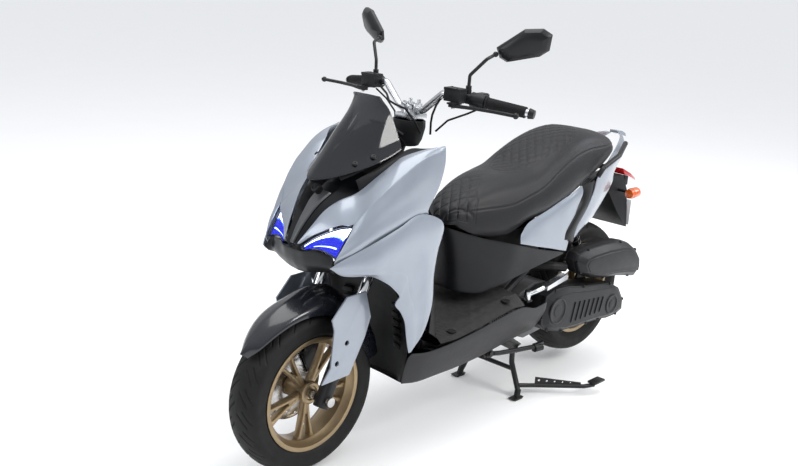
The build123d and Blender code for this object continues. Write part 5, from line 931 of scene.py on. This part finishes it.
B = Build()
T = [(-133, 162, 616), (-174, 153, 644), (-216, 152, 658), (-290, 151, 676), (-354, 150, 694), (-430, 147, 714), (-488, 143, 731)]
M = [(-129, 164, 602), (-165, 160, 622), (-216, 160, 634), (-290, 160, 652), (-354, 158, 670), (-420, 156, 690), (-489, 149, 702)]
N_ = [(-127, 167, 595), (-160, 165, 602), (-216, 165, 600), (-290, 164, 602), (-352, 163, 610), (-400, 160, 625), (-448, 155, 643)]
Bb = [(-125, 168, 589), (-158, 168, 580), (-216, 168, 564), (-290, 167, 545), (-340, 166, 531), (-372, 165, 522), (-397, 164.5, 516)]
B.add(*skin_parts(refine([T, M, N_, Bb], 6, 6), (-280, 0, 600), 3.0))
B.mirror()
B.make("side_panel_skins", "frame", "paint_grey", slot="grey_gloss", stands=("side_panels",), bevel=0.9, bevel_deg=52, seg=3, deg=46)

B = Build()
F1 = [(-396, 167.5, 556), (-404, 167, 582), (-425, 164, 607), (-455, 160, 634), (-474, 158, 652), (-500, 153, 678), (-512, 149, 708), (-508, 146, 734)]
F2 = [(-424, 168, 543), (-432, 166, 570), (-450, 163.5, 595), (-484, 159, 624), (-508, 156.5, 648), (-534, 152, 677), (-548, 149, 708), (-550, 146, 738)]
F0 = [vadd(p, (24, -7.5, 0)) for p in F1]
F3 = [vadd(p, (-24, -10, 0)) for p in F2]
B.add(*skin_parts(refine([F0, F1, F2, F3], 6, 4), (-450, 0, 620), 4.0))
B.mirror()
B.make("boomerang_skins", "frame", "panel_black", slot="black_gloss", stands=("boomerang_trims",), bevel=1.2, bevel_deg=50, seg=3, deg=40)

B = Build()
A = [(-420, 161, 553), (-470, 159, 602), (-512, 157, 646), (-553, 152, 700), (-580, 146, 750), (-660, 130, 795), (-745, 103, 829), (-830, 64, 850), (-880, 30, 860)]
Bb = [(-466, 150, 552), (-520, 146, 578), (-573, 140, 597), (-650, 127, 642), (-730, 112, 700), (-752, 104, 738), (-819, 85, 783), (-880, 58, 822), (-908, 24, 852)]
Mm = [vadd(lerp(a, b, 0.5), (0, 5, -1)) for a, b in zip(A, Bb)]
B.add(*skin_parts(refine([A, Mm, Bb], 6, 5), (-550, 0, 700), 3.0))
B.mirror()
v, f = loft_parts([[(-886, -17, 856), (-886, 17, 856), (-886, 17, 866), (-886, -17, 866)], [(-918, -19, 846), (-918, 19, 846), (-918, 18, 862), (-918, -18, 862)], [(-946, -20, 838), (-946, 20, 838), (-946, 16, 850), (-946, -16, 850)]])
B.add(v, f)
B.make("tail_panel_skins", "frame", "paint_grey", slot="grey_gloss", stands=("tail_panels",), bevel=0.9, bevel_deg=50, seg=3, deg=44)

# ------------------------------------------------------------------ front mudguard
rows = []
for a, R, w, drop in [(36, 286, 12, 0), (44, 288, 36, 4), (56, 290, 52, 8), (68, 291, 60, 12), (80, 290, 64, 16), (92, 290, 64.5, 24),
                      (104, 292, 64.5, 32), (116, 292, 64.5, 40), (128, 289, 64.5, 48), (140, 284, 64.5, 52), (152, 280, 64.5, 50), (164, 276, 64.5, 40)]:
    t = math.radians(a)
    row = []
    for f_ in (-1, -0.93, -0.6, -0.25, 0, 0.25, 0.6, 0.93, 1):
        af = abs(f_)
        r = R + 25 * math.exp(-((a - 100) / 16.0) ** 2) * (1 if af < 0.3 else (0.8 if af < 0.7 else 0)) - (0 if af < 0.01 else (3 if af < 0.3 else (10 if af < 0.7 else (21 if af < 0.95 else 22 + drop))))
        row.append((AXF + r * math.cos(t), w * f_, ZF + r * math.sin(t)))
    rows.append(row)
B = Build()
B.add(*skin_parts(refine(rows, 3, 6), (AXF, 0, ZF), 2.5))
B.make("front_mudguard_skin", "fork", "paint_dark", slot="black_gloss", stands=("front_fender",), bevel=0.8, bevel_deg=50, seg=3, deg=36)

# ================================================================== seat
SEAT = [(104, 20, 686, 664, 661), (92, 46, 702, 661, 659), (76, 60, 716, 661, 659.5), (60, 70, 727, 650, 647), (20, 92, 749, 630, 628), (-50, 118, 775, 618, 616), (-120, 138, 790, 622, 620),
        (-190, 150, 797, 656, 652), (-260, 154, 812, 668, 662), (-330, 155, 846, 684, 680), (-400, 153, 877, 704, 700), (-470, 148, 899, 728, 724),
        (-540, 140, 910, 752, 748), (-610, 130, 903, 776, 770), (-680, 113, 889, 792, 788), (-750, 86, 867, 804, 800), (-805, 52, 834, 808, 804), (-830, 26, 818, 808, 805)]
st_ = refine_row(SEAT, 20)
rings = []
NH = 96
for (x, w, zt, ze, zu) in st_:
    h = zt - ze
    half = [(w * 0.55, zu), (w * 0.93, zu), (w, ze + h * 0.16), (w * 0.985, ze + h * 0.42), (w * 0.90, ze + h * 0.66), (w * 0.74, ze + h * 0.86), (w * 0.40, ze + h * 0.985), (0.0, zt)]
    hh = refine_row(half[1:], 14)
    rings.append([(x, 0.0, zu)] + [(x, half[0][0], zu)] + [(x, y, z) for y, z in hh] + [(x, -y, z) for y, z in reversed(hh[:-1])] + [(x, -half[0][0], zu)])
n = len(rings[0])
NR = len(rings)
nrm = []
for k in range(NR):
    row = []
    for i in range(n):
        a = rings[max(0, k - 1)][i]
        b = rings[min(NR - 1, k + 1)][i]
        c = rings[k][(i - 1) % n]
        d = rings[k][(i + 1) % n]
        nn = vunit(vcross(vsub(b, a), vsub(d, c)))
        row.append(nn)
    nrm.append(row)


def groove(d, w, depth):
    return -depth * math.exp(-(d / w) ** 2)


pts = []
for k in range(NR):
    x, w, zt, ze, zu = st_[k]
    row = []
    for i in range(n):
        p = rings[k][i]
        f_ = (p[2] - ze) / max(1e-3, (zt - ze))      # 0 at the foot, 1 on top
        ay = abs(p[1])
        d = 0.0
        # side seam all round, above the lower third
        if f_ > 0.05:
            d += groove((f_ - 0.60 - 0.06 * math.sin(x / 90.0)) * (zt - ze), 2.6, 1.2) * smooth01((90 - x) / 20.0)
            d += 0.5 * math.exp(-(((f_ - 0.60 - 0.06 * math.sin(x / 90.0)) * (zt - ze) - 5.0) / 3.0) ** 2) * smooth01((90 - x) / 20.0)
        # front quilted field and the rear oval field
        in1 = min((x + 110 - 1.45 * ay) * 0.55, (f_ - 0.25) * 60.0)
        ex, ey = (x + 385) / 205.0, p[1] / (w * (0.72 if x < -385 else 0.60))
        rr = math.sqrt(ex * ex + ey * ey)
        in2 = (1.0 - rr) * 100.0 if f_ > 0.4 else -10.0
        for field, pitch in ((in1, 36.0), (in2, 34.0)):
            if f_ > 0.25 and abs(field) < 6:
                d += groove(field, 1.9, 1.8)
            if field > 3.0:
                fade = smooth01((field - 3.0) / 5.0)
                u = (x / 1.25 + p[1]) / pitch
                v_ = (x / 1.25 - p[1]) / pitch
                du = abs(u - round(u)) * pitch * 0.70
                dv = abs(v_ - round(v_)) * pitch * 0.70
                d += fade * (groove(du, 1.7, 1.9) + groove(dv, 1.7, 1.9) + 1.3 * min(1.0, du / 9.0) * min(1.0, dv / 9.0))
        # slight wrinkles of the cover near the nose
        d += 0.35 * math.sin(x / 7.0 + ay / 11.0) * smooth01((x - 30) / 50.0)
        if p[2] < zu + 1.0:
            d = 0.0
        row.append(vadd(p, vmul(nrm[k][i], d)))
    pts.append(row)
# the sense of the normals is checked against the middle of the seat
mid = (x, 0, 760)
tst = rings[NR // 2][len(rings[0]) // 2 + 1]
if vdot(nrm[NR // 2][len(rings[0]) // 2 + 1], (0, 0, 1)) < 0:
    pts = [[vadd(rings[k][i], vmul(vsub(pts[k][i], rings[k][i]), -1.0)) for i in range(n)] for k in range(NR)]
verts, faces = loft_parts(pts)
seat = obj("seat_cushion_cover", verts, faces, "seat", "seat_vinyl", slot="seat", stands=("seat_cushion",), deg=60)

# ================================================================== mechanical pieces from their CAD shapes


def small(lo, hi, s=45.0):
    return max(b - a for a, b in zip(lo, hi)) < s


def pick_engine(c, lo, hi):
    if small(lo, hi, 40):
        return "steel"
    if lo[1] > 90:
        return "plastic_black"
    if hi[1] - lo[1] > 190:
        return "steel"
    if c[0] > -200:
        return "alloy_cast"
    return "steel_black" if lo[1] > 70 or hi[1] < -70 else "alloy_cast"


remake("engine_case", pick_engine, bevel=1.2)
remake("cvt_cover", lambda c, lo, hi: "plastic_satin", bevel=2.5, seg=3, bevel_deg=20)
remake("airbox", lambda c, lo, hi: "plastic_satin" if lo[1] > 150 else "plastic_black", bevel=3.0, seg=3, bevel_deg=18)
# screws, bosses and ribs on the drive case and the air box
CO = [(-276, 300), (-296, 372), (-345, 388), (-426, 384), (-520, 366), (-620, 352), (-700, 340), (-762, 309), (-800, 257), (-802, 217), (-762, 204), (-700, 203), (-640, 211), (-560, 214), (-400, 222), (-310, 246), (-280, 272)]
AO = [(-455, 470), (-470, 494), (-520, 504), (-645, 505), (-740, 496), (-800, 480), (-855, 445), (-886, 400), (-892, 352), (-866, 330), (-820, 340), (-715, 361), (-640, 368), (-560, 385), (-480, 420)]


def shrink(o, f):
    cx = sum(p[0] for p in o) / len(o)
    cz = sum(p[1] for p in o) / len(o)
    return [(cx + (x - cx) * (1 - f * 0.45), cz + (z - cz) * (1 - f)) for x, z in o]


B = Build()
for x, z in [shrink(CO, 0.045)[i] for i in (0, 2, 4, 6, 8, 10, 12, 13, 14, 15)]:
    v, f = lathe_parts([(5.6, -2), (5.6, 2.8), (4.8, 3.8), (3.0, 3.8), (2.8, 1.8), (0.3, 1.6)], (x, 172, z), (0, 1, 0), 20)
    B.add(v, f, 1)
for cx_, cz_, r_ in ((-352, 312, 44), (-700, 262, 34)):
    v, f = lathe_parts([(r_ + 5, -3), (r_ + 4, 3.2), (r_ + 1, 4.4), (r_ - 3, 4.2), (r_ - 4.5, 1.4), (r_ * 0.5, 1.2), (r_ * 0.45, 3.0), (0.3, 3.2)], (cx_, 185, cz_), (0, 1, 0), 48)
    B.add(v, f, 0)
for i in range(7):
    x0 = -440 - 30 * i
    v, f = loft_parts([[(x0 - 3, 185, 250), (x0 + 3, 185, 250), (x0 + 2, 189.5, 250), (x0 - 2, 189.5, 250)], [(x0 - 21, 185, 322 - 3 * i), (x0 - 15, 185, 322 - 3 * i), (x0 - 16, 189.5, 322 - 3 * i), (x0 - 20, 189.5, 322 - 3 * i)]])
    B.add(v, f, 0)
B.make("drive_cover_details", "engine", ["plastic_satin", "steel_black"], slot="black_plastic", stands=("cvt_cover",), bevel=0.6, bevel_deg=40)
B = Build()
for x, z in [shrink(AO, 0.10)[i] for i in (0, 2, 4, 6, 8, 10, 12, 14)]:
    v, f = lathe_parts([(5.4, -3), (5.4, 3.4), (4.6, 4.4), (3.0, 4.4), (2.8, 2.2), (0.3, 2.0)], (x, 171, z), (0, 1, 0), 20)
    B.add(v, f, 1)
hi_ = shrink(AO, 0.40)
v, f = loft_parts([[(p[0], 190.5, p[1]) for p in hi_], [(p[0], 194.5, p[1]) for p in shrink(AO, 0.46)]])
B.add(v, f, 0)
B.make("air_box_details", "engine", ["plastic_satin", "steel_black"], slot="black_plastic", stands=("airbox",), bevel=0.8, bevel_deg=30)
remake("exhaust", lambda c, lo, hi: "steel_black" if lo[1] > -221 else "steel", bevel=0.8)
remake("frame", lambda c, lo, hi: "steel" if small(lo, hi, 60) else "steel_black", bevel=0.6)
remake("fork_lowers", lambda c, lo, hi: "steel" if abs(c[1]) < 60 else "steel_black", bevel=0.6)
remake("fork_uppers", lambda c, lo, hi: "chrome" if abs(c[1]) > 60 else "steel_black", bevel=0.6)
remake("fork_covers", lambda c, lo, hi: "paint_grey", bevel=1.6, seg=3)
remake("front_caliper", lambda c, lo, hi: "steel_black", bevel=1.5)
remake("front_disc", lambda c, lo, hi: "steel", bevel=0.3)
remake("handlebar", lambda c, lo, hi: "silver" if hi[1] - lo[1] > 300 else ("steel_black" if abs(c[1]) > 200 else "silver"), bevel=0.8)
remake("stem_cover", lambda c, lo, hi: "plastic_black", bevel=1.0)
remake("switch_housings", lambda c, lo, hi: "plastic_satin" if not small(lo, hi, 30) else ("red_lens" if c[1] < 0 and c[2] > 1085 else "plastic_grey"), bevel=1.4, seg=3)
remake("start_button", lambda c, lo, hi: "plastic_grey", bevel=0.6)
remake("master_cylinders", lambda c, lo, hi: "steel" if small(lo, hi, 22) else "plastic_satin", bevel=1.2, seg=3)
remake("lever_left", lambda c, lo, hi: "steel_black", bevel=1.6, seg=3)
remake("lever_right", lambda c, lo, hi: "steel_black", bevel=1.6, seg=3)
remake("control_hoses", lambda c, lo, hi: "rubber", bevel=0.0)
remake("mirror_stems", lambda c, lo, hi: "steel_black", bevel=0.4)


remake("ignition_key", lambda c, lo, hi: "steel", bevel=0.6)
remake("seat_pan", lambda c, lo, hi: "plastic_black", bevel=0.8)
remake("storage_bucket", lambda c, lo, hi: "plastic_black", bevel=0.8)
remake("fuel_tank", lambda c, lo, hi: "steel_black", bevel=3.0, seg=3)
remake("grab_rails", lambda c, lo, hi: "steel_black", bevel=0.8)
remake("tail_light", lambda c, lo, hi: "red_lens", bevel=2.0, seg=3)
remake("plate_carrier", lambda c, lo, hi: "plate_white" if (hi[0] - lo[0]) < 8 and (hi[1] - lo[1]) > 150 else "plastic_black", bevel=1.2)
remake("turn_signals", lambda c, lo, hi: "amber_lens", bevel=2.0, seg=3)
remake("shock_uppers", lambda c, lo, hi: "steel_black", bevel=0.5)
remake("shock_lowers", lambda c, lo, hi: "chrome", bevel=0.5)
remake("shock_springs", lambda c, lo, hi: "spring_black", bevel=0.0)
remake("centre_stand", lambda c, lo, hi: "steel_black", bevel=0.8)
remake("side_stand", lambda c, lo, hi: "steel_black", bevel=0.8)
remake("passenger_peg_l", lambda c, lo, hi: "silver", bevel=1.2)
remake("passenger_peg_r", lambda c, lo, hi: "silver", bevel=1.2)


# ------------------------------------------------------------------ mirrors
MO = [(163, 230, 1235), (127, 300, 1296), (112, 352, 1299), (100, 375, 1283), (96, 366, 1238), (104, 340, 1219), (130, 248, 1198), (146, 232, 1208)]
MN = vunit((0.864, 0.450, -0.226))
mc = vmul((sum(p[0] for p in MO), sum(p[1] for p in MO), sum(p[2] for p in MO)), 1.0 / len(MO))
mo = [vsub(p, vmul(MN, vdot(vsub(p, mc), MN))) for p in MO]
for k, side in ((1, "left"), (-1, "right")):
    B = Build()

    def side_(p):
        return p if k > 0 else mir(p)
    rg = []
    for h, s in ((-5.0, 0.925), (-6.4, 0.945), (-6.8, 0.965), (-5.0, 0.985), (2, 1.0), (8, 0.945), (14, 0.86), (19, 0.66), (22, 0.45)):
        rg.append([side_(vadd(lerp(mc, p, s), vmul(MN, h))) for p in mo])
    v, f = loft_parts(rg)
    B.add(v, f[:-2] + [f[-1]], 0)
    g1 = [side_(vadd(lerp(mc, p, 0.93), vmul(MN, -5.6))) for p in mo]
    g2 = [side_(vadd(lerp(mc, p, 0.93), vmul(MN, -3.4))) for p in mo]
    v, f = loft_parts([g1, g2])
    B.add(v, f, 1)
    B.make("mirror_head_" + side, "mirror_l" if k > 0 else "mirror_r", ["panel_black", "mirror_glass"], slot="black_gloss", stands=("mirror_left" if k > 0 else "mirror_right",), bevel=1.6, seg=3, bevel_deg=20, deg=30)

# ------------------------------------------------------------------ grips: ribbed rubber sleeves
BC, BD = (243, 118, 1098), (157, 360, 1066.6)
DB = vunit(vsub(BD, BC))
for k, nm, node, body in ((1, "grip_left_sleeve", "grip_left", "steering"), (-1, "throttle_grip_sleeve", "throttle_grip", "throttle")):
    prof = [(11.2, 0), (19.6, 0.2), (20, 1.5), (20, 4.0), (18.6, 5.2)]
    s = 6.0
    while s < 118.0:
        prof += [(15.6, s), (16.4, s + 0.8), (16.4, s + 2.2), (15.6, s + 3.0)]
        s += 3.8
    prof += [(16.4, 119.5), (15.6, 121.8), (11.2, 122.0)]
    o0 = vadd(BC, vmul(DB, 128))
    dd = DB
    if k < 0:
        o0, dd = mir(o0), mir(dd)
    v, f = lathe_parts(prof, o0, dd, 48)
    obj(nm, v, f[:-2], body, "rubber", slot="rubber", stands=(node,), deg=50)

# ================================================================== floor, light, camera
bm = bmesh.new()
R0 = 40.0
q = [bm.verts.new((x * R0, y * R0, 0.0)) for x, y in ((-1, -1), (1, -1), (1, 1), (-1, 1))]
bm.faces.new(q)
me = bpy.data.meshes.new("floor")
bm.to_mesh(me)
bm.free()
floor = bpy.data.objects.new("studio_floor", me)
bpy.context.scene.collection.objects.link(floor)
fm = bpy.data.materials.new("studio_floor_finish")
fm.use_nodes = True
fb = fm.node_tree.nodes["Principled BSDF"]
fb.inputs["Roughness"].default_value = 0.75
tcn = fm.node_tree.nodes.new("ShaderNodeTexCoord")
fn = fm.node_tree.nodes.new("ShaderNodeTexNoise")
fn.inputs["Scale"].default_value = 3.0
fr = fm.node_tree.nodes.new("ShaderNodeValToRGB")
fr.color_ramp.elements[0].color = (0.93, 0.93, 0.93, 1)
fr.color_ramp.elements[1].color = (0.95, 0.95, 0.95, 1)
fm.node_tree.links.new(tcn.outputs["Object"], fn.inputs["Vector"])
fm.node_tree.links.new(fn.outputs["Fac"], fr.inputs["Fac"])
fm.node_tree.links.new(fr.outputs["Color"], fb.inputs["Base Color"])
me.materials.append(fm)

world = bpy.data.worlds.new("studio")
bpy.context.scene.world = world
world.use_nodes = True
bg = world.node_tree.nodes["Background"]
bg.inputs["Color"].default_value = (0.95, 0.97, 1.0, 1)
wt = world.node_tree
wc = wt.nodes.new("ShaderNodeTexCoord")
ws = wt.nodes.new("ShaderNodeSeparateXYZ")
wm = wt.nodes.new("ShaderNodeMapRange")
wm.inputs["From Min"].default_value = -0.05
wm.inputs["From Max"].default_value = 0.85
wm.inputs["To Min"].default_value = 0.38
wm.inputs["To Max"].default_value = 1.05
wt.links.new(wc.outputs["Generated"], ws.inputs["Vector"])
wt.links.new(ws.outputs["Z"], wm.inputs["Value"])
wt.links.new(wm.outputs["Result"], bg.inputs["Strength"])


def area(name, loc, target, size, power, color=(1, 1, 1), size_y=None):
    d = bpy.data.lights.new(name, "AREA")
    d.shape = "RECTANGLE"
    d.size = size
    d.size_y = size_y or size
    d.energy = power
    d.color = color
    o = bpy.data.objects.new(name, d)
    bpy.context.scene.collection.objects.link(o)
    o.location = loc
    o.rotation_mode = "QUATERNION"
    o.rotation_quaternion = (Vector(target) - Vector(loc)).to_track_quat("-Z", "Y")
    return o


area("key_soft", (-0.6, 3.6, 3.4), (0, 0, 0.6), 1.8, 130, (1.0, 0.99, 0.97))
area("top_soft", (0.2, -0.2, 4.2), (0, 0, 0.5), 3.0, 90)
area("rim_soft", (-3.6, 1.6, 2.6), (-0.2, 0, 0.7), 1.6, 40, (0.94, 0.97, 1.0))
area("front_soft", (4.0, -1.2, 2.4), (0.4, 0, 0.7), 1.4, 28, (0.95, 0.97, 1.0))

cam = bpy.data.cameras.new("camera")
co = bpy.data.objects.new("camera", cam)
bpy.context.scene.collection.objects.link(co)
yaw, pitch, roll = -2.395, -0.275, 0.058
fwd = Vector((math.cos(yaw) * math.cos(pitch), math.sin(yaw) * math.cos(pitch), math.sin(pitch)))
rgt = fwd.cross(Vector((0, 0, 1))).normalized()
upv = rgt.cross(fwd)
c_, s_ = math.cos(roll), math.sin(roll)
r2 = rgt * c_ + upv * s_
u2 = rgt * -s_ + upv * c_
mtx = Matrix((r2, u2, -fwd)).transposed().to_4x4()
mtx.translation = Vector((2.614666, 2.096394, 1.523595))
co.matrix_world = mtx
cam.sensor_width = 36.0
cam.lens = 1049.683 / 798.0 * 36.0
cam.clip_start, cam.clip_end = 0.05, 200.0
bpy.context.scene.camera = co
bpy.context.scene.view_settings.view_transform = "Standard"

bpy.context.view_layer.update()
